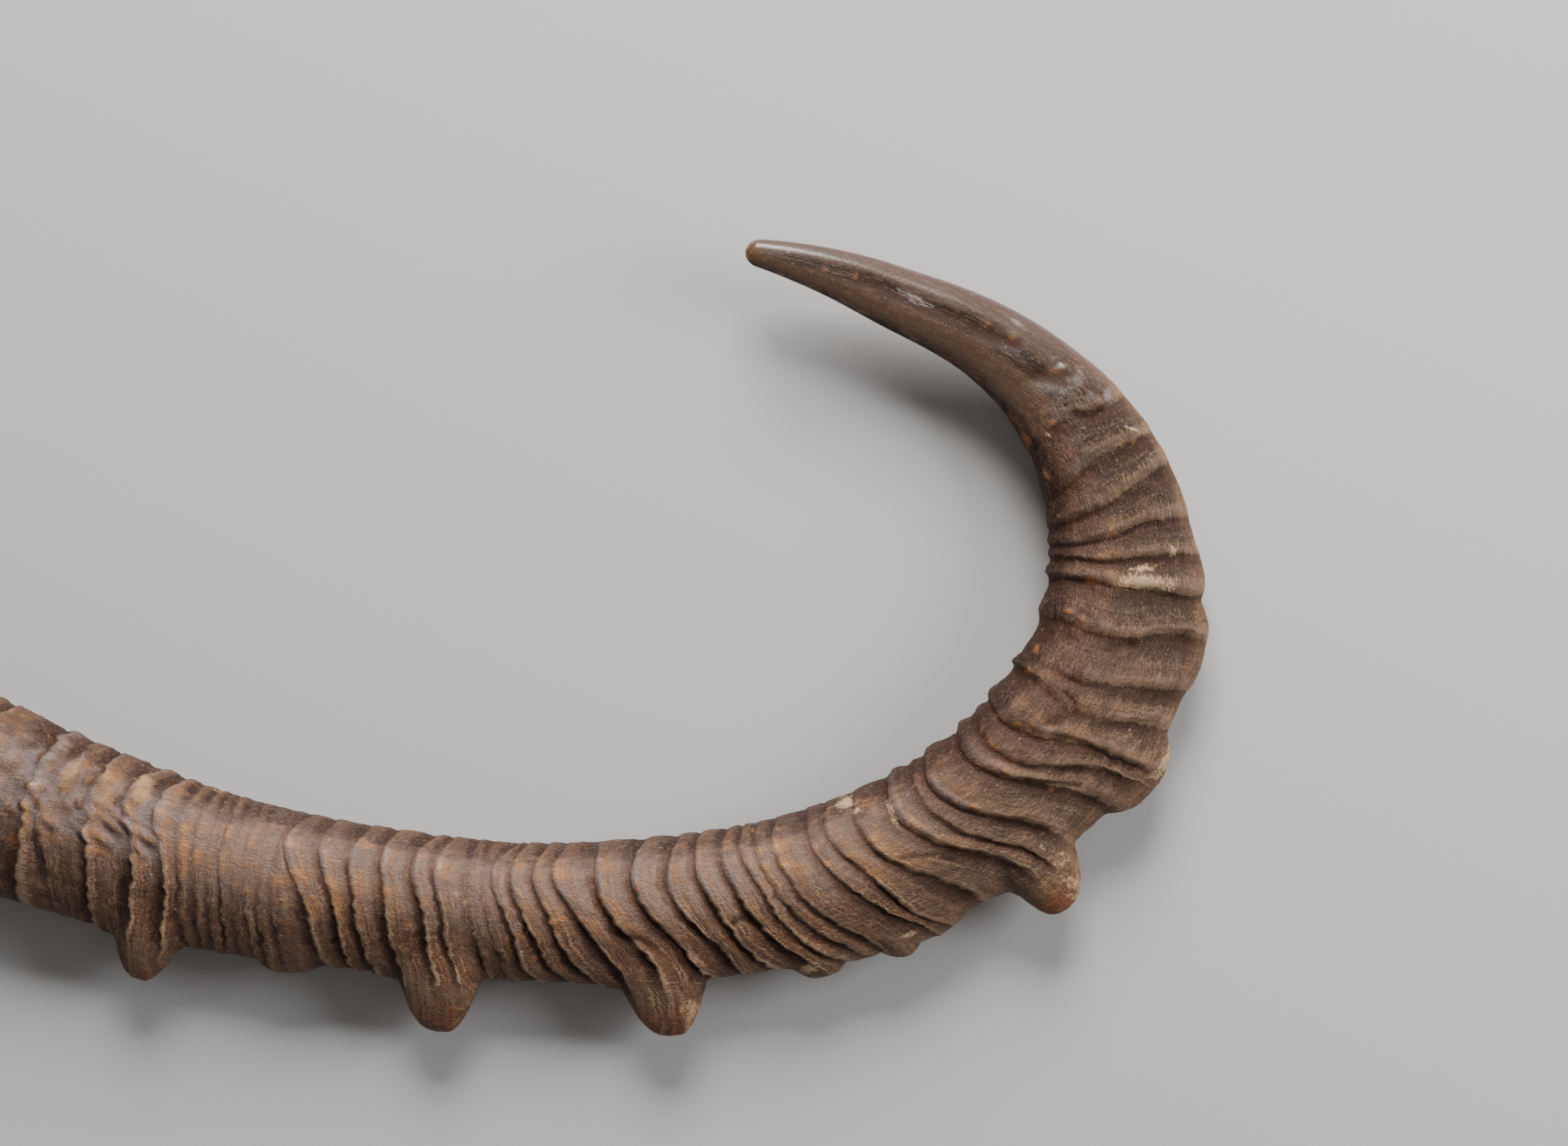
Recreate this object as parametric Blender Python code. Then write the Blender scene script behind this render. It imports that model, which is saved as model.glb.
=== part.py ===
# Horn of a wild goat (ibex), lying on its side: one hollow keratin sheath, grown as one piece.
# Metres, +Z up. The base is cut flat and faces +Y. From there the horn runs towards -Y, bends towards
# +X and curls back over itself at the tip. The knobbed keel is on the outside of the bend, and the
# rounded back on the inside. The horn rests on Z = 0, and the origin is under the middle of its box.
import math

import bmesh
import bpy
import numpy as np

MM = 0.001

# Driving dimensions, in millimetres and degrees. A place is a distance along the midline from the base.
HORN_LENGTH = 993.5
TIP_ROUNDING = 4.5
CAVITY_LENGTH = 240.0
WALL_AT_RIM = 4.5

# Each profile is a short list of (place, value), and its corners are rounded over SMOOTHING.
SMOOTHING = 24.0
PROFILES = {
    # bend of the midline, in degrees for each 100 mm
    "turn": [
        (0, 9.3), (400, 9), (470, 10.8), (530, 11.5), (590, 15.5), (650, 25.5), (700, 39), (743, 55),
        (790, 64), (840, 62), (880, 54), (910, 38), (935, 16), (965, 18), (HORN_LENGTH, 38),
    ],
    # from keel to back
    "depth": [
        (0, 79), (120, 75), (240, 70.5), (330, 66), (400, 57.8), (460, 52), (525, 48.8), (570, 51.3),
        (620, 53), (665, 55.5), (745, 59), (785, 57.5), (830, 48), (880, 33), (905, 27.5), (945, 21.3),
        (976, 13.5), (HORN_LENGTH, 8.5),
    ],
    # from side to side
    "thickness": [
        (0, 50), (240, 46), (340, 43), (400, 39), (525, 34), (620, 35), (745, 38), (800, 34), (850, 28),
        (900, 19.5), (945, 14.5), (976, 10.5), (HORN_LENGTH, 7.5),
    ],
    # air between the horn and what it lies on: it touches at the base, the middle and the curl
    "clearance": [
        (0, 0), (120, 1.6), (300, 1.2), (410, 0), (480, 0), (600, 1.4), (730, 0), (800, 0), (880, 7),
        (940, 15), (HORN_LENGTH, 25),
    ],
    # how far a growth line runs ahead, towards the tip, where it meets the keel
    "drift": [
        (0, 0), (60, 5), (350, 8), (440, 13), (500, 17), (550, 28), (710, 30), (750, 16), (790, 4),
        (830, 0), (HORN_LENGTH, 0),
    ],
    # depth of the flute beside the bead that runs along the keel
    "flute": [(0, 0.3), (740, 0.6), (780, 1.5), (900, 1.6), (950, 1.0), (HORN_LENGTH, 0)],
}
FLUTE_FROM_KEEL = 6.5
FLUTE_WIDTH = 3.4

# Knobs on the keel: (place, height, length of the top, of the slope on the base side, and on the tip side).
KNOBS = [
    (92, 8, 8, 22, 12), (196, 14, 9, 18, 9), (252, 4, 6, 18, 14), (300, 16, 10, 18, 8),
    (400, 14.5, 8, 16, 10), (446, 4, 4, 10, 16), (503, 18.5, 10, 16, 8), (578, 19, 13, 16, 7),
    (628, 3.8, 3, 14, 5), (654, 4.5, 3, 13, 6), (702, 18.5, 9, 10, 12), (742, 9, 5, 9, 13),
    (775, 2, 3, 10, 10), (798, 1.6, 2, 8, 8),
]

# Growth ridges: (place of the lip, height on the sides, height on the back).
# A ridge steps up at its lip, which faces the base, and slopes away towards the tip.
RIDGES = [
    (344, 1.4, 2.2), (353, 1.6, 1.8), (363, 1.4, 2.0), (371, 1.4, 1.6), (382, 2.0, 1.6), (392, 1.6, 1.2),
    (401, 1.6, 0.9), (411, 0.9, 0.6), (419, 0.8, 0.5), (429, 0.6, 0.4), (442, 1.3, 0.6), (453, 1.4, 0.9),
    (464, 1.5, 1.1), (475, 1.6, 1.2), (487, 1.5, 1.1), (497, 1.2, 0.8), (507, 0.9, 0.5), (517, 1.0, 0.6),
    (524, 1.3, 0.7), (531, 1.4, 0.9), (540, 1.5, 1.0), (555, 1.7, 1.5), (567, 1.8, 1.4), (579, 1.8, 1.4),
    (590, 1.7, 1.2), (601, 1.6, 1.0), (610, 1.4, 0.7), (621, 1.4, 0.6), (631, 1.2, 0.7), (641, 1.3, 0.9),
    (654, 1.5, 1.2), (669, 1.7, 2.0), (687, 2.0, 2.3), (706, 2.0, 2.3), (716, 1.3, 1.8), (730, 1.7, 2.3),
    (742, 1.0, 1.2), (751, 1.4, 2.2), (766, 1.5, 1.5), (780, 1.7, 1.0), (792, 1.6, 1.2), (803, 1.7, 1.8),
    (813, 1.3, 1.2), (823, 1.6, 1.0), (835, 1.5, 0.8), (848, 1.6, 0.6), (862, 1.5, 0.3), (878, 0.8, 0.2),
    (896, 0.5, 0.1),
]
# Nearer the base than those, the ridges follow a rule.
BASE_RIDGES = {"first": 16, "last": 336, "spacing": 11.5, "side": 1.5, "back": 1.2}
LIP_WIDTH = 2.4  # length of the steep step up to a lip
GROOVE_SHARE = 0.35  # share of a ridge's height that is cut below the plain surface

POINTS_AROUND = 24
LONGEST_STEP = 10.5
CAVITY_RINGS = 9
TIP_RING_SHARES = (1.0, 0.6, 0.28, 0.07)  # places of the last rings, as shares of the tip's rounding
SHARP_ANGLE = math.radians(40)

HORN_COLOUR = (0.155, 0.094, 0.060, 1.0)
HORN_ROUGHNESS = 0.5

STEP = 0.5
GRID = np.arange(0.0, HORN_LENGTH + STEP, STEP)


def smooth_step(x):
    x = np.clip(x, 0.0, 1.0)
    return x * x * (3.0 - 2.0 * x)


def smooth_profile(points):
    """A profile's value at each place of GRID, with its corners rounded."""
    places, values = zip(*points)
    raw = np.interp(GRID, places, values)
    half = int(SMOOTHING / STEP / 2)
    window = np.hanning(2 * half + 3)[1:-1]
    padded = np.pad(raw, half, mode="reflect", reflect_type="odd")
    return np.convolve(padded, window / window.sum(), mode="valid")


def midline(turn):
    """Heading, X and Y at each place of GRID. The horn leaves its base towards -Y."""
    steps = (turn[1:] + turn[:-1]) / 2 * STEP / 100.0
    heading = math.radians(-90.0) + np.radians(np.concatenate([[0.0], np.cumsum(steps)]))
    middle = (heading[1:] + heading[:-1]) / 2
    x = np.concatenate([[0.0], np.cumsum(np.cos(middle)) * STEP])
    y = np.concatenate([[0.0], np.cumsum(np.sin(middle)) * STEP])
    return heading, x, y


def all_ridges():
    """Every growth ridge from the base to the tip."""
    ridges = []
    place = BASE_RIDGES["first"]
    while place < BASE_RIDGES["last"]:
        unevenness = math.sin(place * 0.19) + 0.6 * math.sin(place * 0.071 + 1.0)
        ridges.append((place, BASE_RIDGES["side"] * (1.0 + 0.3 * unevenness), BASE_RIDGES["back"]))
        place += BASE_RIDGES["spacing"] * (1.0 + 0.22 * math.sin(place * 0.13 + 2.0))
    return ridges + RIDGES


def ridge_profiles(ridges):
    """Height of the ridges on the sides and on the back, at each place of GRID."""
    side, back = np.zeros_like(GRID), np.zeros_like(GRID)
    feet = [place - LIP_WIDTH for place, _, _ in ridges] + [ridges[-1][0] + 20.0]
    for (place, side_height, back_height), foot, next_foot in zip(ridges, feet, feet[1:]):
        up = smooth_step((GRID - foot) / LIP_WIDTH)
        down = 1.0 - smooth_step((GRID - place) / (next_foot - place)) ** 0.8
        share = np.where(GRID < place, up, down) - GROOVE_SHARE
        share[(GRID < foot) | (GRID >= next_foot)] = 0.0
        side += side_height * share
        back += back_height * share
    return side, back


PROFILE = {name: smooth_profile(points) for name, points in PROFILES.items()}
HEADING, MIDLINE_X, MIDLINE_Y = midline(PROFILE["turn"])
ALL_RIDGES = all_ridges()
RIDGE_SIDE, RIDGE_BACK = ridge_profiles(ALL_RIDGES)


def at(name, place):
    return np.interp(place, GRID, PROFILE[name])


def knob_height(place):
    """Height of the knobs above the keel."""
    total = np.zeros_like(place)
    for middle, height, top, base_slope, tip_slope in KNOBS:
        ahead = place - middle
        slope = np.where(ahead < 0.0, base_slope, tip_slope)
        total = np.maximum(total, height * smooth_step(1.0 - (np.abs(ahead) - top / 2) / slope))
    return total


def growth_offset(growth, angle):
    """How far a growth line runs ahead of its place, round the horn from the back (0) to the keel (pi)."""
    turned = np.abs(angle)
    hook = 4.0 * np.cos(np.clip(1.5 * turned, 0.0, math.pi / 2)) ** 2
    sweep = at("drift", growth) * np.clip((turned - math.pi / 3) / (2 * math.pi / 3), 0.0, 1.0) ** 1.5
    wave = 0.9 * np.sin(2 * angle + growth / 23.0) + 0.6 * np.sin(3 * angle - growth / 14.0 + 1.3)
    settled = smooth_step(growth / 40.0) * smooth_step((HORN_LENGTH - 40.0 - growth) / 60.0)
    return settled * (hook + sweep + wave)


def section(place, angle):
    """Outline of the plain sheath: distance from the midline towards the keel, and up."""
    into_tip = np.clip((place - (HORN_LENGTH - TIP_ROUNDING)) / TIP_ROUNDING, 0.0, 1.0)
    closing = np.sqrt(1.0 - into_tip**2)
    depth, thickness = at("depth", place) * closing, at("thickness", place) * closing
    towards_keel = -np.cos(angle) * depth / 2
    keel_share = 0.5 - 0.5 * np.cos(angle)
    side = np.sign(np.sin(angle)) * np.abs(np.sin(angle)) ** 0.88
    fullness = np.where(side > 0, 1.06, 0.94) * (1.07 - 0.47 * keel_share**1.7)
    up = side * fullness * thickness / 2
    from_flute = (depth / 2 - towards_keel - FLUTE_FROM_KEEL) / FLUTE_WIDTH
    flute = at("flute", place) * np.exp(-(from_flute**2)) * np.clip(3.0 * side, -1.0, 1.0)
    return towards_keel, up - flute


def placed(place, towards_keel, up):
    """Points of a section carried to its place along the bent midline."""
    heading = np.interp(place, GRID, HEADING)
    x = np.interp(place, GRID, MIDLINE_X) + np.sin(heading) * towards_keel
    y = np.interp(place, GRID, MIDLINE_Y) - np.cos(heading) * towards_keel
    resting = at("clearance", place) + 0.47 * at("thickness", place)
    return np.stack([x, y, resting + up], axis=-1)


def outside(growth, angle):
    """Points of the outer surface, with its ridges and knobs."""
    place = np.clip(growth + growth_offset(growth, angle), 0.0, HORN_LENGTH)
    towards_keel, up = section(place, angle)
    keel_share = 0.5 - 0.5 * np.cos(angle)
    at_back = 1.0 - smooth_step(keel_share / 0.35)
    at_keel = smooth_step((keel_share - 0.86) / 0.12)
    on_sides = np.interp(growth, GRID, RIDGE_SIDE) * (1.0 - at_back) * (1.0 - 0.75 * at_keel)
    ridge = on_sides + np.interp(growth, GRID, RIDGE_BACK) * at_back
    ridge = ridge * smooth_step((HORN_LENGTH - 60.0 - growth) / 40.0)
    knob = knob_height(place)
    off_keel = math.pi - np.abs(angle)
    towards_keel = towards_keel - np.cos(angle) * ridge + knob * np.exp(-((off_keel / 0.52) ** 2))
    swelling = 0.17 * knob * np.exp(-(((off_keel - 0.5) / 0.35) ** 2))
    up = up + np.sin(angle) * ridge + np.sign(np.sin(angle)) * swelling
    return placed(place, towards_keel, up)


def growth_lines():
    """Places of the rings of points: the foot and the lip of each ridge, and steps between them."""
    marks = [0.0]
    for place, _, _ in ALL_RIDGES:
        marks += [place - LIP_WIDTH, place]
    marks += [HORN_LENGTH - TIP_ROUNDING * share for share in TIP_RING_SHARES]
    lines = marks[:1]
    for mark in marks[1:]:
        steps = math.ceil((mark - lines[-1]) / LONGEST_STEP)
        lines += list(np.linspace(lines[-1], mark, steps + 1)[1:])
    return lines


def ring_angles():
    """Angles round the horn, from the back (0) over the top to the keel (pi) and back underneath."""
    angles = np.linspace(0.0, 2 * math.pi, POINTS_AROUND, endpoint=False)
    return np.where(angles > math.pi, angles - 2 * math.pi, angles)


def outer_rings():
    angles = ring_angles()
    return [outside(np.full_like(angles, line), angles) for line in growth_lines()]


def cavity_rings():
    """The hollow that the bone once filled, from the rim inwards."""
    angles = ring_angles()
    rings = []
    for number in range(CAVITY_RINGS):
        share = number / CAVITY_RINGS
        place = np.full_like(angles, share * CAVITY_LENGTH)
        towards_keel, up = section(place, angles)
        narrowing = (1.0 - share**1.5) ** 0.75
        towards_keel = towards_keel * (1.0 - 2 * WALL_AT_RIM / at("depth", place)) * narrowing
        up = up * (1.0 - 2 * WALL_AT_RIM / at("thickness", place)) * narrowing
        rings.append(placed(place, towards_keel, up))
    return rings


def add_ring(bm, points):
    return [bm.verts.new(point * MM) for point in points]


def join_rings(bm, first, second):
    for i, vert in enumerate(first):
        j = (i + 1) % len(first)
        bm.faces.new((vert, first[j], second[j], second[i]))


def close_end(bm, ring, place):
    """A fan of faces from a ring to a point on the midline."""
    middle = placed(np.array([place]), np.zeros(1), np.zeros(1))[0]
    pole = bm.verts.new(middle * MM)
    for i, vert in enumerate(ring):
        bm.faces.new((vert, ring[(i + 1) % len(ring)], pole))


def horn_mesh():
    """One closed skin: from the cavity's end out to the rim, and along the outside to the tip."""
    bm = bmesh.new()
    rings = [add_ring(bm, points) for points in reversed(cavity_rings())]
    rings += [add_ring(bm, points) for points in outer_rings()]
    for first, second in zip(rings, rings[1:]):
        join_rings(bm, first, second)
    close_end(bm, rings[0][::-1], CAVITY_LENGTH)
    close_end(bm, rings[-1], HORN_LENGTH)
    bmesh.ops.recalc_face_normals(bm, faces=bm.faces)
    mesh = bpy.data.meshes.new("horn")
    bm.to_mesh(mesh)
    bm.free()
    return mesh


def rest_at_origin(mesh):
    """Moves the mesh so that its lowest point is at Z = 0 and the middle of its box is over the origin."""
    points = np.array([vert.co for vert in mesh.vertices])
    low, high = points.min(axis=0), points.max(axis=0)
    middle = (low + high) / 2
    for vert in mesh.vertices:
        vert.co.x -= middle[0]
        vert.co.y -= middle[1]
        vert.co.z -= low[2]


def horn_material():
    material = bpy.data.materials.new("horn")
    material.use_nodes = True
    shader = material.node_tree.nodes["Principled BSDF"]
    shader.inputs["Base Color"].default_value = HORN_COLOUR
    shader.inputs["Roughness"].default_value = HORN_ROUGHNESS
    shader.inputs["Metallic"].default_value = 0.0
    material.diffuse_color = HORN_COLOUR
    return material


def main():
    for obj in list(bpy.data.objects):
        bpy.data.objects.remove(obj)
    mesh = horn_mesh()
    rest_at_origin(mesh)
    mesh.materials.append(horn_material())
    mesh.shade_smooth()
    mesh.set_sharp_from_angle(angle=SHARP_ANGLE)
    horn = bpy.data.objects.new("horn", mesh)
    bpy.context.scene.collection.objects.link(horn)


main()
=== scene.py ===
import math

import bpy
import numpy as np
from mathutils import Matrix, Vector


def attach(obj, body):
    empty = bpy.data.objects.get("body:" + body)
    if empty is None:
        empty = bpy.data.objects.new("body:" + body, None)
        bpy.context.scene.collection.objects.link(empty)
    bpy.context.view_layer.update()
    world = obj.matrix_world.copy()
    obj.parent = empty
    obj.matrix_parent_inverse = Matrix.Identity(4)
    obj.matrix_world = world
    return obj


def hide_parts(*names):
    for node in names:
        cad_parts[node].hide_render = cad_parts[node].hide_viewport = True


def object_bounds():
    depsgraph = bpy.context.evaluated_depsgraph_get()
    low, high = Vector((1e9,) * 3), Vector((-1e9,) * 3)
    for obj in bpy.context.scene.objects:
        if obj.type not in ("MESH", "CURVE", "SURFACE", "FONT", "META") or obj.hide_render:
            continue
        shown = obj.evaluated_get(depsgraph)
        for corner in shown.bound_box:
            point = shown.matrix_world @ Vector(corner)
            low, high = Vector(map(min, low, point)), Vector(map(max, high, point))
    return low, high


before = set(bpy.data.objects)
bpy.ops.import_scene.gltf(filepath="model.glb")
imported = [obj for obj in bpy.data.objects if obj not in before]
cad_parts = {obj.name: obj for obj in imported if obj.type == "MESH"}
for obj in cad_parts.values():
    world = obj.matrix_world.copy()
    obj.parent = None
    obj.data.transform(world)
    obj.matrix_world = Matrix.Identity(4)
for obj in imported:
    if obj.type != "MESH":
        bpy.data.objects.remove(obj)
cadLow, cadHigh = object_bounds()
millimetre = 0.001  # in the scene's metres
print("frame loaded")


# Node wiring. A Wire is one output of a node, and sums written with wires become math nodes.

class Wire:
    def __init__(self, tree, socket):
        self.tree = tree
        self.socket = socket

    def __add__(self, other):
        return mathNode(self.tree, "ADD", self, other)

    def __sub__(self, other):
        return mathNode(self.tree, "SUBTRACT", self, other)

    def __rsub__(self, other):
        return mathNode(self.tree, "SUBTRACT", other, self)

    def __mul__(self, other):
        return mathNode(self.tree, "MULTIPLY", self, other)

    def __truediv__(self, other):
        return mathNode(self.tree, "DIVIDE", self, other)

    def __pow__(self, other):
        return mathNode(self.tree, "POWER", self, other)

    __radd__ = __add__
    __rmul__ = __mul__


def newNode(tree, kind, **settings):
    node = tree.nodes.new(kind)
    for name, value in settings.items():
        setattr(node, name, value)
    return node


def feed(tree, socket, value):
    if isinstance(value, Wire):
        tree.links.new(value.socket, socket)
    else:
        socket.default_value = value


def mathNode(tree, operation, *values):
    node = newNode(tree, "ShaderNodeMath", operation=operation)
    for socket, value in zip(node.inputs, values):
        feed(tree, socket, value)
    return Wire(tree, node.outputs[0])


def cosine(wire):
    return mathNode(wire.tree, "COSINE", wire)


def sine(wire):
    return mathNode(wire.tree, "SINE", wire)


def size(wire):
    return mathNode(wire.tree, "ABSOLUTE", wire)


def larger(first, second):
    return mathNode(first.tree, "MAXIMUM", first, second)


def smaller(first, second):
    return mathNode(first.tree, "MINIMUM", first, second)


def bell(wire, width):
    # 1 where the wire is 0, fading on both sides over about the width
    return mathNode(wire.tree, "EXPONENT", (wire / width) ** 2 * -1.0)


def ramp(wire, low, high):
    # 0 below low and 1 above high, or the other way round where low is above high
    node = newNode(wire.tree, "ShaderNodeMapRange", interpolation_type="SMOOTHSTEP")
    for name, value in (("Value", wire), ("From Min", low), ("From Max", high)):
        feed(wire.tree, node.inputs[name], value)
    return Wire(wire.tree, node.outputs["Result"])


def inZone(place, name):
    # 0 before the zone and 1 past it, in the direction that its two places give
    return ramp(place, *zones[name])


def vector(tree, x, y, z):
    node = newNode(tree, "ShaderNodeCombineXYZ")
    for socket, value in zip(node.inputs, (x, y, z)):
        feed(tree, socket, value)
    return Wire(tree, node.outputs[0])


def parts(wire):
    node = newNode(wire.tree, "ShaderNodeSeparateXYZ")
    feed(wire.tree, node.inputs[0], wire)
    return [Wire(wire.tree, socket) for socket in node.outputs]


def vectorMath(tree, operation, first, second):
    node = newNode(tree, "ShaderNodeVectorMath", operation=operation)
    feed(tree, node.inputs[0], first)
    feed(tree, node.inputs[3 if operation == "SCALE" else 1], second)
    return Wire(tree, node.outputs[0])


def texture(kind, place, grain, shift, values, **settings):
    # grain is the size of a patch along each axis, in the units of place
    tree = place.tree
    scaled = vectorMath(tree, "MULTIPLY", place, tuple(1.0 / g for g in grain))
    moved = vectorMath(tree, "ADD", scaled, vector(tree, shift, shift * 0.7, shift * 1.3))
    node = newNode(tree, kind, **settings)
    for name, value in {"Vector": moved, "Scale": 1.0, **values}.items():
        feed(tree, node.inputs[name], value)
    return node


def noise(place, grain, detail, roughness, shift):
    # values round 0.5
    values = {"Detail": detail, "Roughness": roughness}
    node = texture("ShaderNodeTexNoise", place, grain, shift, values, noise_dimensions="3D")
    return Wire(place.tree, node.outputs[0])


def cells(place, grain, shift):
    # distance from the middle of the nearest of many rounded cells of about the grain's size
    values = {"Smoothness": 0.35, "Randomness": 0.8}
    node = texture("ShaderNodeTexVoronoi", place, grain, shift, values, feature="SMOOTH_F1")
    return Wire(place.tree, node.outputs["Distance"])


def blendColour(factor, first, second):
    tree = factor.tree
    node = newNode(tree, "ShaderNodeMix", data_type="RGBA")
    feed(tree, node.inputs[0], factor)
    feed(tree, node.inputs[6], first)
    feed(tree, node.inputs[7], second)
    return Wire(tree, node.outputs[2])


# The horn's form, in millimetres and degrees. A place is a distance along the midline from the
# base's cut, and each list holds (place, value) pairs.
hornForm = {
    "length": 993.5,
    "tipRounding": 4.5,
    "cavityLength": 240.0,
    "cavityEnd": 0.985,  # share of that length where the first row of points lies
    "cavityTaper": (1.5, 0.75),  # powers of its narrowing
    "wall": 4.5,
    "softening": 24.0,  # the lists' corners are rounded over this length
    "turn": [  # bend of the midline in each 100 mm
        (0, 9.3), (400, 9), (470, 10.8), (530, 11.5), (590, 15.5), (650, 25.5), (700, 39), (743, 55),
        (790, 64), (840, 62), (880, 54), (910, 38), (935, 16), (965, 18), (993.5, 38),
    ],
    "depth": [  # keel to back
        (0, 79), (120, 75), (240, 70.5), (330, 66), (400, 57.8), (460, 52), (525, 48.8), (570, 51.3),
        (620, 53), (665, 55.5), (745, 59), (785, 57.5), (830, 48), (880, 33), (905, 27.5), (945, 21.3),
        (976, 13.5), (993.5, 8.5),
    ],
    "thickness": [  # side to side
        (0, 50), (240, 46), (340, 43), (400, 39), (525, 34), (620, 35), (745, 38), (800, 34), (850, 28),
        (900, 19.5), (945, 14.5), (976, 10.5), (993.5, 7.5),
    ],
    "clearance": [  # air under the horn
        (0, 0), (120, 1.6), (300, 1.2), (410, 0), (480, 0), (600, 1.4), (730, 0), (800, 0), (880, 7),
        (940, 15), (993.5, 25),
    ],
    "flute": [  # depth of the flute beside the keel's bead
        (0, 0), (780, 0.1), (840, 0.25), (880, 0.4), (930, 0.4), (960, 0.3), (993.5, 0),
    ],
    "fluteShare": 0.56,  # where the flute runs, from the back to the keel
    "fluteWidth": 0.13,  # share of the depth
    "beadShare": 0.79,  # where the bead runs
    "beadWidth": 0.1,
    "sway": [  # how far the section lies to the keel's side of the midline
        (0, 0), (300, 0), (420, 2.3), (470, 1.0), (560, 0.9), (620, 0.8), (690, -0.3), (725, -1.0),
        (765, 0.8), (790, 1.0), (810, 0), (905, 0), (935, -0.9), (960, 0), (993.5, 0),
    ],
    "squareness": (0.88, 0.84),  # power of the section's height, in the shaft and the tip: less is squarer
    "keelNarrowing": (0.47, 0.25),  # of the section towards the keel, and how much less near the tip
    "startHeading": -90.0,  # the way the midline leaves the base's cut
    "midlineHeight": 0.47,  # of the midline above the horn's lowest point, as a share of the thickness
    # knobs on the keel: place, height, length of the top and of the slopes on the base and tip side,
    # and how worn the tip side is
    "knobs": [
        (92, 9, 3, 24, 14, 0.2), (196, 15, 4, 18, 11, 0.5), (252, 4, 3, 18, 14, 0),
        (300, 17, 4, 16, 10, 0.4), (400.5, 15.5, 4, 11.5, 9.5, 0), (446, 4, 3, 9, 14, 0),
        (501.7, 19.7, 8, 13, 8, 0.4), (577.2, 19.5, 8, 13, 9, 0.8), (626.5, 6, 3, 7, 12, 0.3),
        (643, 3, 9, 9, 9, 0), (654.5, 6.7, 2.5, 8.5, 8, 0.4), (664, 4, 6, 8, 12, 0),
        (701, 18, 5.5, 6.5, 13, 0.7), (742, 8, 3, 16, 15, 0.7), (781, 3.2, 4, 14, 12, 0),
        (801, 1.6, 2, 8, 8, 0),
    ],
    "foot": 0.22,  # share of a knob's height that is in its wide foot
    "footReach": (2.0, 1.3),  # of the foot, in slopes, on the base and tip side
    "knobReach": (1.3, 0.8),  # of a knob's round end, in shares of its top and of its slope
    "knobFullness": 2.5,  # power of a knob's round end: more is blunter
    "knobWidth": 0.52,  # of a knob round the section, in radians from the keel
    "knobFlanks": (0.5, 0.35, 0.17),  # where and how widely the sides swell at a knob, and by how much
    "wornOver": 5.0,  # length over which a knob's worn side begins
}

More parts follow.
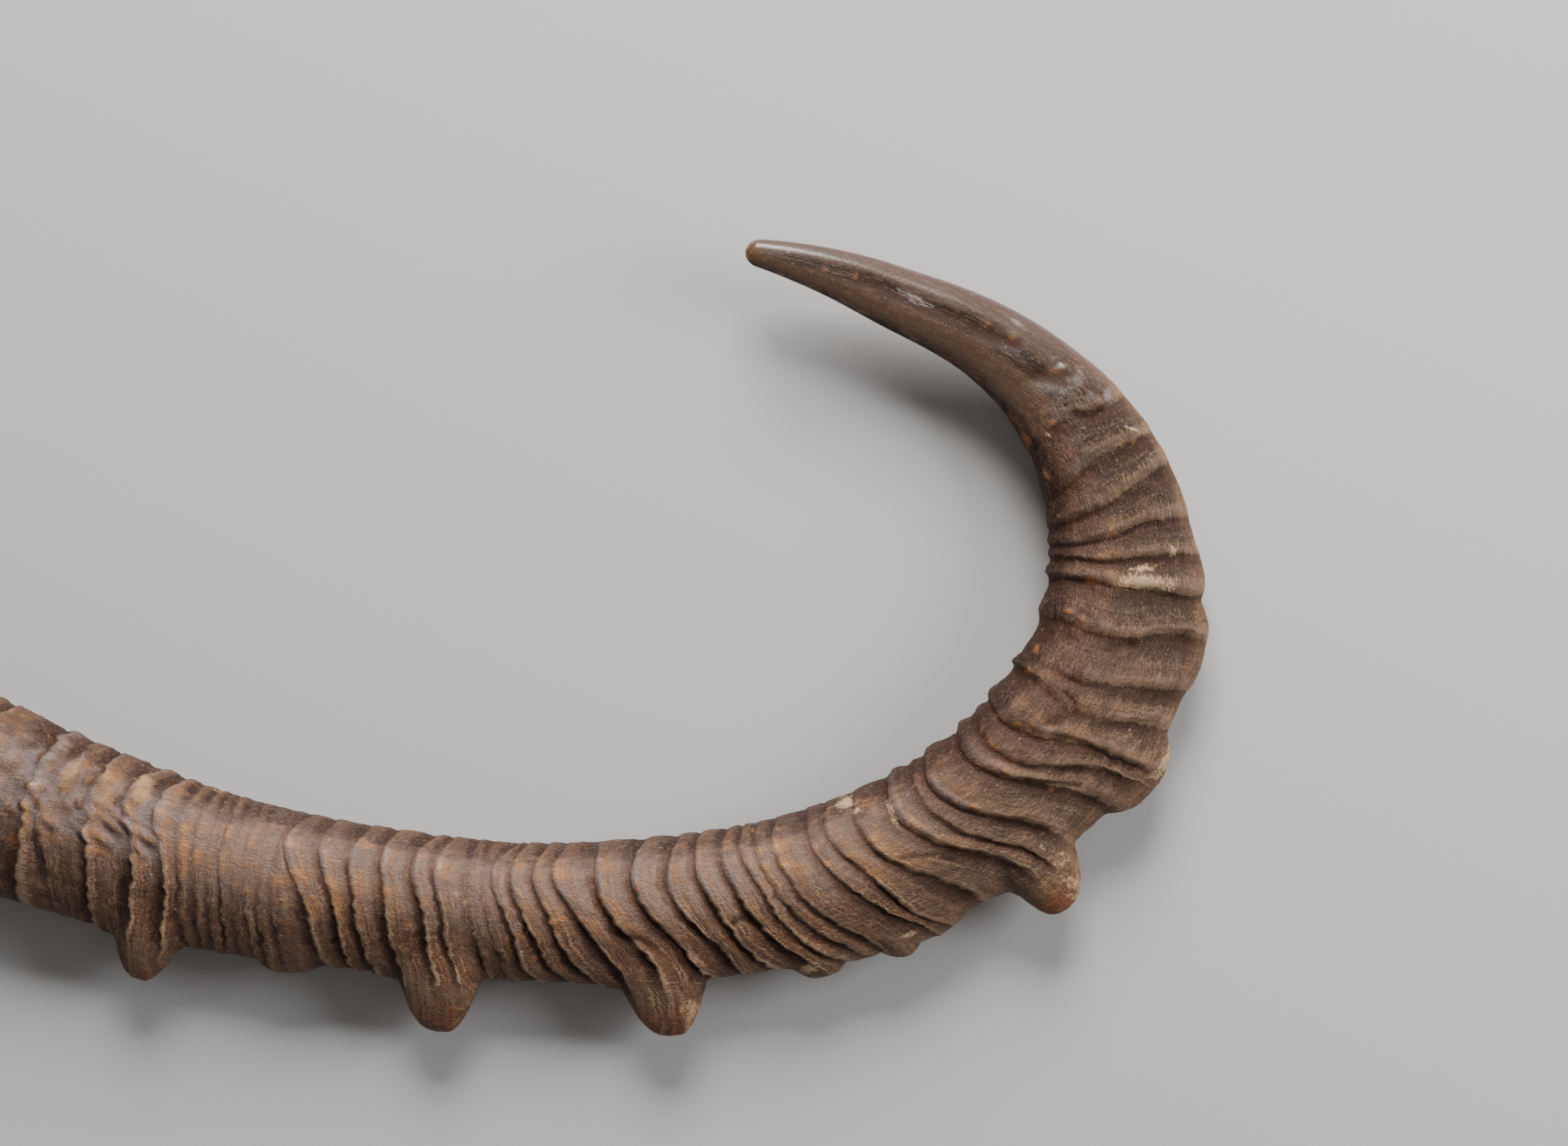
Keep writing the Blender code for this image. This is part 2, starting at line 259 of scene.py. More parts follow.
# Growth ridges. Each is a line across the side of the horn: its places at the back, the shoulder,
# the middle, the lower side and the keel; its rise at the back, the middle and the keel; and the
# length of its step, which faces the base.
ridgeShares = (0.0, 0.22, 0.45, 0.72, 1.0)  # how far from the back to the keel those places are
growthRidges = [
    (352, 347, 348, 351, 355, 1.4, 1.1, 1.4, 2.4), (362, 356, 354, 360, 367, 1.3, 0.7, 0.2, 2.4),
    (372.5, 368.5, 371, 376, 381, 1.3, 1.2, 1.8, 2.4), (388, 381, 387, 391.5, 396, 1.4, 1.6, 2.2, 2.4),
    (398, 392, 399, 404, 407, 1.1, 1.3, 2.2, 2.4), (405, 403, 405.5, 409, 414, 0.6, 0.6, 0.8, 1.6),
    (411.5, 409, 411.5, 414.5, 419, 0.6, 0.6, 0.8, 1.2), (416, 415, 416, 419, 424, 0.3, 0.4, 0.9, 1.2),
    (419.5, 419, 420.5, 423, 428.5, 0.6, 0.6, 0.8, 1.2),
    (425, 424, 425, 427.5, 433, 0.2, 0.4, 0.9, 1.2),
    (429, 428.5, 429.5, 432, 437.5, 0.3, 0.4, 0.8, 1.2),
    (434, 433, 434, 436.5, 442, 0.2, 0.5, 0.9, 1.2), (439, 438, 439, 442, 448, 0.2, 0.4, 0.9, 1.2),
    (447, 440, 447, 455, 462, 0.5, 1.3, 1.4, 2.6), (456, 453, 458, 464, 470, 0.6, 1.3, 1.4, 2.2),
    (469.5, 464.5, 467, 471, 478.5, 0.7, 1.4, 1.5, 2.2),
    (479.5, 475.5, 478.5, 481.5, 490.5, 0.8, 1.6, 1.6, 2.2),
    (494, 487, 491, 495, 502, 0.8, 1.5, 1.6, 2.4), (501, 495.5, 498.5, 502, 511.5, 0.6, 1.2, 1.3, 2),
    (510, 509, 509.5, 511.5, 517, 0.4, 0.4, 0.6, 1.2),
    (515, 513.5, 514, 517.5, 523, 0.4, 0.5, 0.7, 1.2),
    (525.5, 516.5, 520.5, 525, 534, 0.5, 1.2, 1.4, 1.8),
    (528.5, 523.5, 527, 533, 544.5, 0.6, 1.5, 1.5, 1.8),
    (536, 531.5, 535.5, 542, 554, 0.6, 1.5, 1.5, 1.8), (543, 538.5, 545, 555, 566, 0.5, 1.4, 1.5, 1.8),
    (555, 554, 557.5, 568, 577, 0.9, 1.7, 1.8, 2.2), (573, 567, 571, 581, 592, 1, 1.9, 1.9, 2.2),
    (585.5, 580.5, 583, 593, 602, 1, 1.8, 1.7, 2.2), (594, 591, 595, 602, 613, 0.9, 1.6, 1.8, 2),
    (605, 601, 605, 613, 630, 0.8, 1.5, 1.8, 2), (611, 609, 613.5, 620.5, 636, 0.6, 1.2, 1.3, 1.6),
    (616.5, 615, 618.5, 627, 642, 0.6, 0.9, 1, 1.4), (624, 621, 624.5, 634, 648.5, 0.6, 1.3, 1.3, 1.8),
    (636.5, 635.5, 640, 650.5, 666, 0.7, 1.1, 1.3, 1.8),
    (645.5, 642, 649.5, 657, 671, 0.4, 1.2, 1.3, 1.8),
    (657, 653.5, 659.5, 673, 682.5, 0.8, 1.3, 1.2, 2.4),
    (673, 668.5, 675.5, 690.5, 700.5, 1.7, 1.6, 1.2, 3.4),
    (683.5, 680.5, 684.5, 697, 707, 0.3, 0.8, 0.9, 2.8),
    (691, 686.5, 694.5, 708, 714, 1.9, 1.8, 1.2, 4), (709, 706, 714, 724.5, 731, 2, 1.8, 1.2, 4.6),
    (720.5, 715.5, 722, 734.5, 740, 0.8, 0.9, 0.9, 4), (730, 728, 735, 741, 746, 2.3, 1.4, 1.2, 5),
    (750.5, 749.5, 748.5, 752, 756, 2.2, 0.6, 1.2, 5.4), (758, 757.5, 760, 764.5, 768, 0, 1, 1.6, 5),
    (779, 779, 778, 781.5, 783, 1.1, 1.1, 1.9, 5.4), (799, 797.5, 796, 794.5, 795, 1.9, 1.6, 1.8, 4.6),
    (809, 806.5, 805.5, 806, 807, 0.6, 1, 1, 3.6),
    (815.5, 813.5, 815.5, 817.5, 818, 0.8, 1.4, 0.9, 4.4),
    (823, 824.5, 827.5, 831, 834, 0.6, 1.6, 1.2, 5.2), (837, 840, 842.5, 843.5, 843, 0.6, 1.7, 1.3, 6),
    (859.5, 862, 860.5, 857, 857, 0.7, 1.4, 1, 6),
]
baseRidges = {  # the rule for the ridges nearer the base than those
    "first": 17.0,
    "last": 338.0,
    "spacing": 11.5,
    "rise": (1.7, 1.4, 1.7),
    "step": 2.3,
    "uneven": ((0.35, 0.19, 0.0), (0.2, 0.071, 1.0)),  # waves on the rise: share, rate and start
    "spacingUneven": (0.25, 0.13, 2.0),  # and on the spacing
    "settle": 60.0,  # length over which the lines take up their bent path, from the straight cut
    "path": (3.0, -3.5, -2.5, 1.0, 5.0),
}
relief = {
    "crest": [(0, 2.6), (640, 3), (680, 1.8), (800, 1.5), (993.5, 1.3)],  # above 1 ridges stay high longer
    "gain": (1.0, 1.15, 1.15),  # on the rises at the back, the middle and the keel
    "crestShare": (1.0, 0.8, 0.5),  # on the crest there
    "waves": (640.0, 730.0),  # between these places the ridges turn from steps into waves
    "grooveShare": 0.5,  # share of the rise that is cut below the plain surface
    "grooveAt": 0.3,  # where a groove is darkest, as a share of the step
    "grooveTail": (2.8, 0.3),  # reach of its dark towards the base, and the most of the gap that it fills
    "lipAt": 0.75,  # where the step's lip is sharpest
    "lipWidth": (0.4, 0.75),  # of the lip on the base and tip side, in lengths of the step
    "fullStrength": 1.4,  # a ridge of this height has its full tone
    "lastTail": 24.0,  # length over which the last ridge fades
    "linesEnd": 955.0,  # past this place the growth lines run straight across
    "rows": 806,
    "cavityRows": 34,
    "rimRows": (0.15, 0.5, 0.85),  # rows on the cut face, as shares of the way out
    "rimGap": 0.8,  # from the cut to the first rows inside and outside
    "density": (0.45, 290.0, 330.0),  # of the rows near the base, and where it rises to the full one
    "stepDensity": 1.2,  # added on the ridges' steps
    "tipDensity": 4.0,
    "tipGap": 0.02,  # from the last row to the tip's end
    "columns": 120,
    "columnsOnTop": 0.25,  # how much closer the columns lie on the upper side
    "patterns": {  # a patch's length along the horn, across and up, then detail, roughness and shift
        "wander": ((26.0, 17.0, 17.0), 1.0, 0.5, 0.0),
        "jag": ((6.0, 3.0, 3.0), 3.0, 0.7, 0.0),
        "torn": ((7.0, 4.0, 4.0), 2.0, 0.6, 7.0),
        "patchy": ((7.0, 9.0, 9.0), 2.0, 0.5, 4.0),
        "lines": ((3.0, 14.0, 14.0), 1.0, 0.5, 6.0),
        "lumps": ((4.5, 3.0, 3.0), 3.0, 0.6, 9.0),
    },
    "wander": 1.8,  # how far the growth lines stray
    "ragged": 2.3,  # how far a step's edge strays near the keel
    "torn": 7.0,  # and in the torn stretch near the base
    "lineHeight": 1.3,  # of the fine lines, from their deepest to their highest
    "wrinkleRun": (0.82, 0.57),  # the way the wrinkles run, along the horn and towards the keel
    "wrinkleSize": (9.0, 3.4, 9.0),
    "pitSize": (7.0, 7.0, 7.0),
    "grit": 0.25,  # height of the small unevenness all over
    "seed": 3.0,
}

# Places along the horn between which its surface passes from one kind into the next.
zones = {
    "settling": (3.0, 45.0),  # the growth lines leave the straight cut
    "straightening": (985.0, 930.0),  # and straighten again at the tip
    "raggedLips": (830.0, 720.0),
    "firstChips": (20.0, 60.0),
    "lastChips": (408.0, 392.0),
    "deepChips": (320.0, 345.0),
    "sheenChips": (412.0, 396.0),
    "coarseSkin": (410.0, 370.0),
    "grittySkin": (900.0, 800.0),
    "fineLines": (780.0, 700.0),
    "fullKeel": (780.0, 860.0),
    "tipSection": (790.0, 870.0),
    "curl": (600.0, 720.0),
    "umberBack": (640.0, 720.0),
    "shade": (772.0, 790.0),
    "deepShade": (800.0, 845.0),
    "lessOlive": (790.0, 830.0),
    "tip": (850.0, 885.0),
    "bead": (845.0, 880.0),
    "beadStreaks": (850.0, 880.0),
    "valley": (840.0, 870.0),
    "valleyEnd": (996.0, 972.0),
    "brokenEnd": (984.0, 990.0),
    "wornEnd": (987.0, 994.0),
}
fans = {"middle": 645.0, "length": 30.0}  # the small knobs with pale fibres
neckShade = {"middle": 857.0, "length": 20.0}  # the painted shade below the bead's start

# Single features of this horn's outer side. Creases: depth, width and the darkness of their painted
# shade, then points as (place, share of the way from the back to the keel). Patches: place, share,
# half length along the horn and round it, lean in mm along for each mm round, and how far it stands
# out. A plain patch is a boss with no colour of its own.
hornMarks = {
    "upperSide": (-4.0, -1.0),  # heights from the midline between which the marks fade in
    "patchEdge": 0.35,  # where a patch's raised part begins, from 0 outside it to 1.5 in its middle
    "creases": [
        (0.9, 1.8, 0.6, [(737, 0.36), (741, 0.42), (745, 0.44), (748.5, 0.42), (750.5, 0.33)]),
        (0.6, 1.4, 0.5, [(735, 0.45), (738, 0.53), (739.5, 0.62)]),
        (0.7, 1.2, 0.8, [(716, 0.5), (719, 0.57), (724, 0.66), (728, 0.76)]),
        (0.8, 1.6, 0.6, [(771, 0.45), (774, 0.5), (776, 0.6)]),
        (0.4, 1.3, 0.5, [(742, 0.94), (752, 0.91), (763, 0.93), (778, 0.94), (792, 0.93)]),
        (0.7, 2, 0.9, [(861, 0.5), (857, 0.61), (856, 0.7)]),
        (0.4, 2.6, 0.95, [(882, 0.44), (877.5, 0.52), (872, 0.63)]),
        (0.35, 1.7, 0.8, [(874, 0.68), (872, 0.8)]),
        (0.35, 2.8, 0.9, [(906, 0.5), (899, 0.54), (892, 0.62)]),
        (0.15, 2.4, 0.75, [(910, 0.5), (930, 0.47), (948, 0.5)]),
        (0.15, 1.6, 0.6, [(951, 0.5), (955, 0.62)]),
        (0.5, 1.3, 0.9, [(863.5, 0.7), (864, 0.79), (860, 0.83), (856.5, 0.8), (856.5, 0.72)]),
        (0.4, 1.1, 0.8, [(877.5, 0.72), (877, 0.8), (873.5, 0.84), (870.5, 0.79), (871, 0.72)]),
        (0.4, 1.2, 0.7, [(839.5, 0.8), (838.5, 0.9)]), (0.4, 1.2, 0.7, [(829.5, 0.78), (829, 0.9)]),
        (0.7, 1.2, 0.8, [(601, 0.62), (606, 0.6), (609, 0.64), (611, 0.68)]),
        (0.8, 1.2, 0.8, [(664, 0.5), (670, 0.53), (676, 0.58), (680, 0.66)]),
        (0.7, 1.4, 0.7, [(559, 0.62), (563, 0.66), (569, 0.67), (573, 0.74)]),
    ],
    "patches": {
        "pale": [
            (797.6, 0.62, 2.4, 11.5, 0, 0.5), (802.3, 0.61, 1.3, 6, 0.12, 0.3),
            (807.3, 0.82, 1.9, 1.8, 0, 0.3), (846.3, 0.85, 0.8, 2.2, -0.9, 0.1),
            (652, 0.05, 3.6, 2.6, 0, 0.3), (667.6, 0.2, 1.2, 5.5, 0, 0.3),
            (655, 0.11, 1.8, 1.3, 0, 0.2), (623, 1.03, 3.4, 2.4, -0.6, 0.2),
            (657, 0.98, 4, 1.3, 0, 0.2), (749, 1.08, 6.5, 2.6, 0, 0.1), (706.5, 0.9, 1.1, 1.1, 0, 0.2),
            (860.7, 0.21, 0.8, 0.7, 0, 0),
        ],
        "tan": [
            (455.8, 0.125, 1.3, 1.1, 0, 0.2), (359, 0.17, 3, 4, 0, 0.4),
            (372.5, 0.17, 3.6, 4.4, 0.2, 0.4), (385.5, 0.13, 3.6, 7, 0, 0.3),
            (527, 0.34, 1.6, 3.6, 0.6, 0.3), (536.5, 0.44, 1.5, 4.5, 0.5, 0.3),
            (623, 0.3, 1.2, 2, 0.3, 0.3), (621, 0.18, 1.1, 3, 0, 0.2), (663.8, 0.74, 1.2, 1, 0, 0.2),
            (504, 0.37, 1.4, 1.4, 0, 0.2), (507.6, 0.43, 0.9, 1.5, 0, 0.2),
        ],
        "amber": [
            (729.5, 0.22, 1.5, 2.4, 0.3, 0.3), (733, 0.29, 1.2, 1.2, 0, 0.3),
            (736.5, 0.38, 1.2, 1.2, 0, 0.2), (721, 0.65, 1.4, 1.3, 0, 0.3),
            (713, 0.38, 1.1, 1.2, 0, 0.2), (716, 0.2, 1.1, 2.2, 0, 0.2), (781.3, 0.24, 2, 1.4, 0, 0.4),
            (783.2, 0.15, 1.2, 2.4, 0, 0.3), (762, 0.05, 3.4, 1.3, 0, 0.2),
            (750.8, 0.08, 2.4, 1.9, 0, 0.2), (747.3, 0.13, 1.1, 1.5, 0, 0.2),
            (863.5, 0.03, 3.4, 1.5, 0, 0.3), (863, 0.3, 1.4, 2.4, 0, 0.3), (846, 0.06, 4, 1, -0.4, 0.2),
            (875, 0.03, 4.4, 1.2, 0, 0.2), (876.2, 0.69, 1.2, 3, -0.2, 0.3),
            (894.3, 0.68, 1.3, 2.4, 0.1, 0.2), (904.5, 0.67, 1.1, 1.6, 0, 0.2),
            (843, 0.8, 1.4, 1.6, 0, 0.2), (797.5, 0.26, 1.8, 3, 0, 0), (953.5, 0.55, 1.2, 2, 0, 0.2),
            (964.5, 0.47, 1.6, 1.4, 0, 0.2), (348, 0.64, 4, 3.4, 0, 0), (488, 0.62, 1.4, 2.2, 0, 0),
            (523, 0.72, 1.4, 3, 0.4, 0), (532, 0.8, 2, 1.6, 0, 0), (569, 0.31, 1.3, 2.6, 0.3, 0.2),
            (696, 0.43, 1.2, 2.6, 0.7, 0.2), (909.5, 0.72, 0.9, 0.9, 0, 0.1),
        ],
        # polished spots that carry a painted glint
        "shine": [
            (931.5, 0.58, 6.5, 1.7, 0, 0.1), (859.5, 0.87, 1.4, 2.6, 0.4, 0.1),
            (895.5, 0.86, 3.4, 1.2, 0, 0),
        ],
        "plain": [
            (739.5, 0.2, 10, 13, 0, 0.9), (816.5, 0.78, 3, 3, 0, 1), (824.5, 0.84, 3.2, 3, 0, 1),
            (833, 0.86, 2.6, 2.6, 0, 0.7), (860.2, 0.76, 4.2, 4, 0, 0.8), (874, 0.77, 3.6, 3.2, 0, 0.6),
            (844.5, 0.84, 3.4, 3, 0, 0.8),
        ],
    },
}

gridStep = 0.5
gridPlaces = np.arange(0.0, hornForm["length"] + gridStep, gridStep)


def smoothStep(x):
    x = np.clip(x, 0.0, 1.0)
    return x * x * (3.0 - 2.0 * x)


def softened(points):
    places, values = zip(*points)
    raw = np.interp(gridPlaces, places, values)
    half = int(hornForm["softening"] / gridStep / 2)
    window = np.hanning(2 * half + 3)[1:-1]
    padded = np.pad(raw, half, mode="reflect", reflect_type="odd")
    return np.convolve(padded, window / window.sum(), mode="valid")


def knobProfile():
    # height of the knobs, and how far each place is on a knob's tip side, where the horn is worn
    height, worn = np.zeros_like(gridPlaces), np.zeros_like(gridPlaces)
    foot = hornForm["foot"]
    topReach, slopeReach = hornForm["knobReach"]
    for middle, tall, top, baseSlope, tipSlope, wear in hornForm["knobs"]:
        ahead = gridPlaces - middle
        slope = np.where(ahead < 0.0, baseSlope, tipSlope)
        reach = topReach * top / 2 + slopeReach * slope
        rise = 1.0 - np.minimum(np.abs(ahead) / reach, 1.0) ** hornForm["knobFullness"]
        footSlope = slope * np.where(ahead < 0.0, *hornForm["footReach"])
        wide = smoothStep(1.0 - (np.abs(ahead) - top / 2) / footSlope)
        height = np.maximum(height, tall * ((1.0 - foot) * rise + foot * wide))
        worn = np.maximum(worn, smoothStep((ahead - top * 0.2) / hornForm["wornOver"]) * wide * wear)
    return height, worn


def midlineTable():
    # the bent midline and the section's sizes, at each place of the grid
    turn = softened(hornForm["turn"])
    steps = (turn[1:] + turn[:-1]) / 2 * gridStep / 100.0
    turned = np.concatenate([[0.0], np.cumsum(steps)])
    heading = math.radians(hornForm["startHeading"]) + np.radians(turned)
    middle = (heading[1:] + heading[:-1]) / 2
    x = np.concatenate([[0.0], np.cumsum(np.cos(middle)) * gridStep])
    y = np.concatenate([[0.0], np.cumsum(np.sin(middle)) * gridStep])
    depth, thickness = softened(hornForm["depth"]), softened(hornForm["thickness"])
    resting = softened(hornForm["clearance"]) + hornForm["midlineHeight"] * thickness
    zeros = np.zeros_like(x)
    knob, worn = knobProfile()
    return {
        "spot": np.stack([x, y, resting], axis=1),
        "ahead": np.stack([np.cos(heading), np.sin(heading), zeros], axis=1),
        "section": np.stack([depth, thickness, softened(hornForm["flute"])], axis=1),
        "knob": np.stack([knob, worn, softened(hornForm["sway"])], axis=1),
    }


def allRidges():
    rule = baseRidges
    ridges = []
    place = rule["first"]
    while place < rule["last"]:
        settled = min(1.0, place / rule["settle"])
        path = [place + settled * offset for offset in rule["path"]]
        uneven = 1.0 + sum(share * math.sin(place * rate + start) for share, rate, start in rule["uneven"])
        ridges.append((*path, *(rise * uneven for rise in rule["rise"]), rule["step"]))
        share, rate, start = rule["spacingUneven"]
        place += rule["spacing"] * (1.0 + share * math.sin(place * rate + start))
    return ridges + growthRidges


def ridgeProfile(ridges, column):
    # rise, groove, lip and drift along the horn at the back, the middle or the keel; the drift
    # goes from -1 just past a ridge's step to 1 just before the next
    chosen = [ridge for ridge in ridges if ridge[5 + column] > 0.1]
    heights = np.array([ridge[5 + column] for ridge in chosen]) * relief["gain"][column]
    steps = np.array([ridge[8] for ridge in chosen])
    feet = np.array([ridge[2] for ridge in chosen]) - steps / 2
    ends = np.append(feet[1:], feet[-1] + relief["lastTail"])
    tops = heights * (1.0 - relief["grooveShare"])
    bottoms = -relief["grooveShare"] * (np.append(heights[0], heights) + np.append(heights, 0.0)) / 2
    crests = np.maximum(np.interp(feet, *zip(*relief["crest"])) * relief["crestShare"][column], 1.0)
    rise, groove, lip, drift = (np.zeros_like(gridPlaces) for _ in range(4))
    for i, (foot, step, end) in enumerate(zip(feet, steps, ends)):
        gone = np.clip((gridPlaces - foot - step) / (end - foot - step), 0.0, 1.0)
        wave = smoothStep((foot - relief["waves"][0]) / (relief["waves"][1] - relief["waves"][0]))
        fall = (1.0 - wave) * (1.0 - gone ** crests[i]) + wave * (0.5 + 0.5 * np.cos(np.pi * gone**1.2))
        climb = smoothStep((gridPlaces - foot) / step)
        onStep = gridPlaces < foot + step
        level = np.where(onStep, climb, fall)
        bottom = np.where(onStep, bottoms[i], bottoms[i + 1])
        inside = (gridPlaces >= foot) & (gridPlaces < end)
        rise[inside] = (bottom + (tops[i] - bottom) * level)[inside]
        strength = min(1.0, heights[i] / relief["fullStrength"])
        before = foot + relief["grooveAt"] * step - gridPlaces
        tail, tailShare = relief["grooveTail"]
        if i:
            tail = min(tail, tailShare * (foot - feet[i - 1]))
        shade = np.where(before > 0.0, np.exp(-before / tail), np.exp(-((before / 0.5) ** 2)))
        groove = np.maximum(groove, strength * shade)
        edge = gridPlaces - foot - relief["lipAt"] * step
        wide = np.where(edge < 0.0, *relief["lipWidth"]) * step
        lip = np.maximum(lip, strength * np.exp(-((edge / wide) ** 2)))
        tone = np.where(onStep, 1.0 - 2.0 * climb, 2.0 * smoothStep((gone - 0.2) / 0.8) - 1.0)
        drift[inside] = (strength * tone)[inside]
    return rise, groove, lip, drift


def rowPlaces(groove, lip):
    # the rows' places outside, closer together on steps, at the tip and away from the base
    sparse, thinEnd, fullStart = relief["density"]
    density = sparse + (1.0 - sparse) * smoothStep((gridPlaces - thinEnd) / (fullStart - thinEnd))
    density *= 1.0 + relief["stepDensity"] * np.maximum(groove, lip)
    density[gridPlaces > hornForm["length"] - 2.0 * hornForm["tipRounding"]] = relief["tipDensity"]
    run = np.concatenate([[0.0], np.cumsum((density[1:] + density[:-1]) / 2)])
    count = relief["rows"] - relief["cavityRows"] - len(relief["rimRows"])
    places = np.interp(np.linspace(0.0, run[-1], count), run, gridPlaces)
    places[0] = relief["rimGap"]
    places[-1] = hornForm["length"] - relief["tipGap"]
    return places


def rowTable():
    # one entry for each row of points, from the cavity's end out over the rim and on to the tip
    ridges = allRidges()
    profiles = [ridgeProfile(ridges, column) for column in range(3)]
    outer = rowPlaces(profiles[1][1], profiles[1][2])
    rim = np.array(relief["rimRows"])
    deepest = hornForm["cavityLength"] * hornForm["cavityEnd"]
    inner = np.linspace(deepest, relief["rimGap"], relief["cavityRows"])
    growth = np.concatenate([inner, rim * 0.0, outer])
    outside = np.concatenate([np.zeros(len(inner)), rim, np.ones(len(outer))])
    isOuter = outside == 1.0

    # each row's path round the horn, as powers of the share from the back to the keel
    straight = [(place,) * 5 for place in (0.0, relief["linesEnd"], hornForm["length"])]
    knots = np.array([straight[0]] + [ridge[:5] for ridge in ridges] + straight[1:])
    lines = np.stack([np.interp(growth, knots[:, 2], knots[:, i]) for i in range(5)], axis=1)
    offsets = (lines - growth[:, None]) * isOuter[:, None]
    powers = offsets @ np.linalg.inv(np.vander(ridgeShares, 5, increasing=True)).T

    fullDepth = np.interp(growth, gridPlaces, softened(hornForm["depth"]))
    fullThickness = np.interp(growth, gridPlaces, softened(hornForm["thickness"]))
    into = np.clip(growth / hornForm["cavityLength"], 0.0, 1.0)
    alongCavity, roundEnd = hornForm["cavityTaper"]
    narrowing = (1.0 - into**alongCavity) ** roundEnd
    innerDepth = (1.0 - 2 * hornForm["wall"] / fullDepth) * narrowing
    innerThickness = (1.0 - 2 * hornForm["wall"] / fullThickness) * narrowing
    rounding = hornForm["tipRounding"]
    toTip = np.clip((growth - hornForm["length"] + rounding) / rounding, 0.0, 1.0)
    closing = np.sqrt(1.0 - toTip**2)

    def onRows(values):
        return np.interp(growth, gridPlaces, values) * isOuter

    def allRound(i):
        return np.stack([onRows(profile[i]) for profile in profiles], axis=1)

    return {
        "line": np.stack([growth, outside, growth * 0.0], axis=1),
        "pathLow": powers[:, :3],
        "pathHigh": np.stack([powers[:, 3], powers[:, 4], growth * 0.0], axis=1),
        "fit": np.stack([
            innerDepth + (closing - innerDepth) * outside,
            innerThickness + (closing - innerThickness) * outside,
            growth * 0.0,
        ], axis=1),
        "rise": allRound(0),
        "groove": allRound(1),
        "lip": allRound(2),
        "drift": allRound(3),
    }


def tableObject(name, table, spacing):
    # a row of joined points along X that carries the table's values as attributes
    count = len(next(iter(table.values())))
    mesh = bpy.data.meshes.new(name)
    points = [(i * spacing, 0.0, 0.0) for i in range(count)]
    mesh.from_pydata(points, [(i, i + 1) for i in range(count - 1)], [])
    for key, values in table.items():
        attribute = mesh.attributes.new(key, "FLOAT_VECTOR", "POINT")
        attribute.data.foreach_set("vector", np.asarray(values, np.float32).ravel())
    thing = bpy.data.objects.new(name, mesh)
    bpy.context.scene.collection.objects.link(thing)
    return thing


def namedVector(tree, name):
    node = newNode(tree, "GeometryNodeInputNamedAttribute", data_type="FLOAT_VECTOR")
    node.inputs["Name"].default_value = name
    return Wire(tree, node.outputs["Attribute"])


def storeVector(tree, geometry, name, value):
    node = newNode(tree, "GeometryNodeStoreNamedAttribute", data_type="FLOAT_VECTOR", domain="POINT")
    feed(tree, node.inputs["Geometry"], geometry)
    node.inputs["Name"].default_value = name
    feed(tree, node.inputs["Value"], value)
    return Wire(tree, node.outputs["Geometry"])


def movePoints(tree, geometry, position=None, offset=None):
    node = newNode(tree, "GeometryNodeSetPosition")
    feed(tree, node.inputs["Geometry"], geometry)
    if position is not None:
        feed(tree, node.inputs["Position"], position)
    if offset is not None:
        feed(tree, node.inputs["Offset"], offset)
    return Wire(tree, node.outputs["Geometry"])


skinInputs = {  # the plain numbers that the skin's tree takes, by name
    "Columns On Top": relief["columnsOnTop"],
    "Flute Share": hornForm["fluteShare"],
    "Flute Width": hornForm["fluteWidth"],
    "Bead Share": hornForm["beadShare"],
    "Bead Width": hornForm["beadWidth"],
    "Squareness": hornForm["squareness"][0],
    "Tip Squareness": hornForm["squareness"][1],
    "Wander": relief["wander"],
    "Ragged Edge": relief["ragged"],
    "Grit": relief["grit"],
    "Seed": relief["seed"],
}


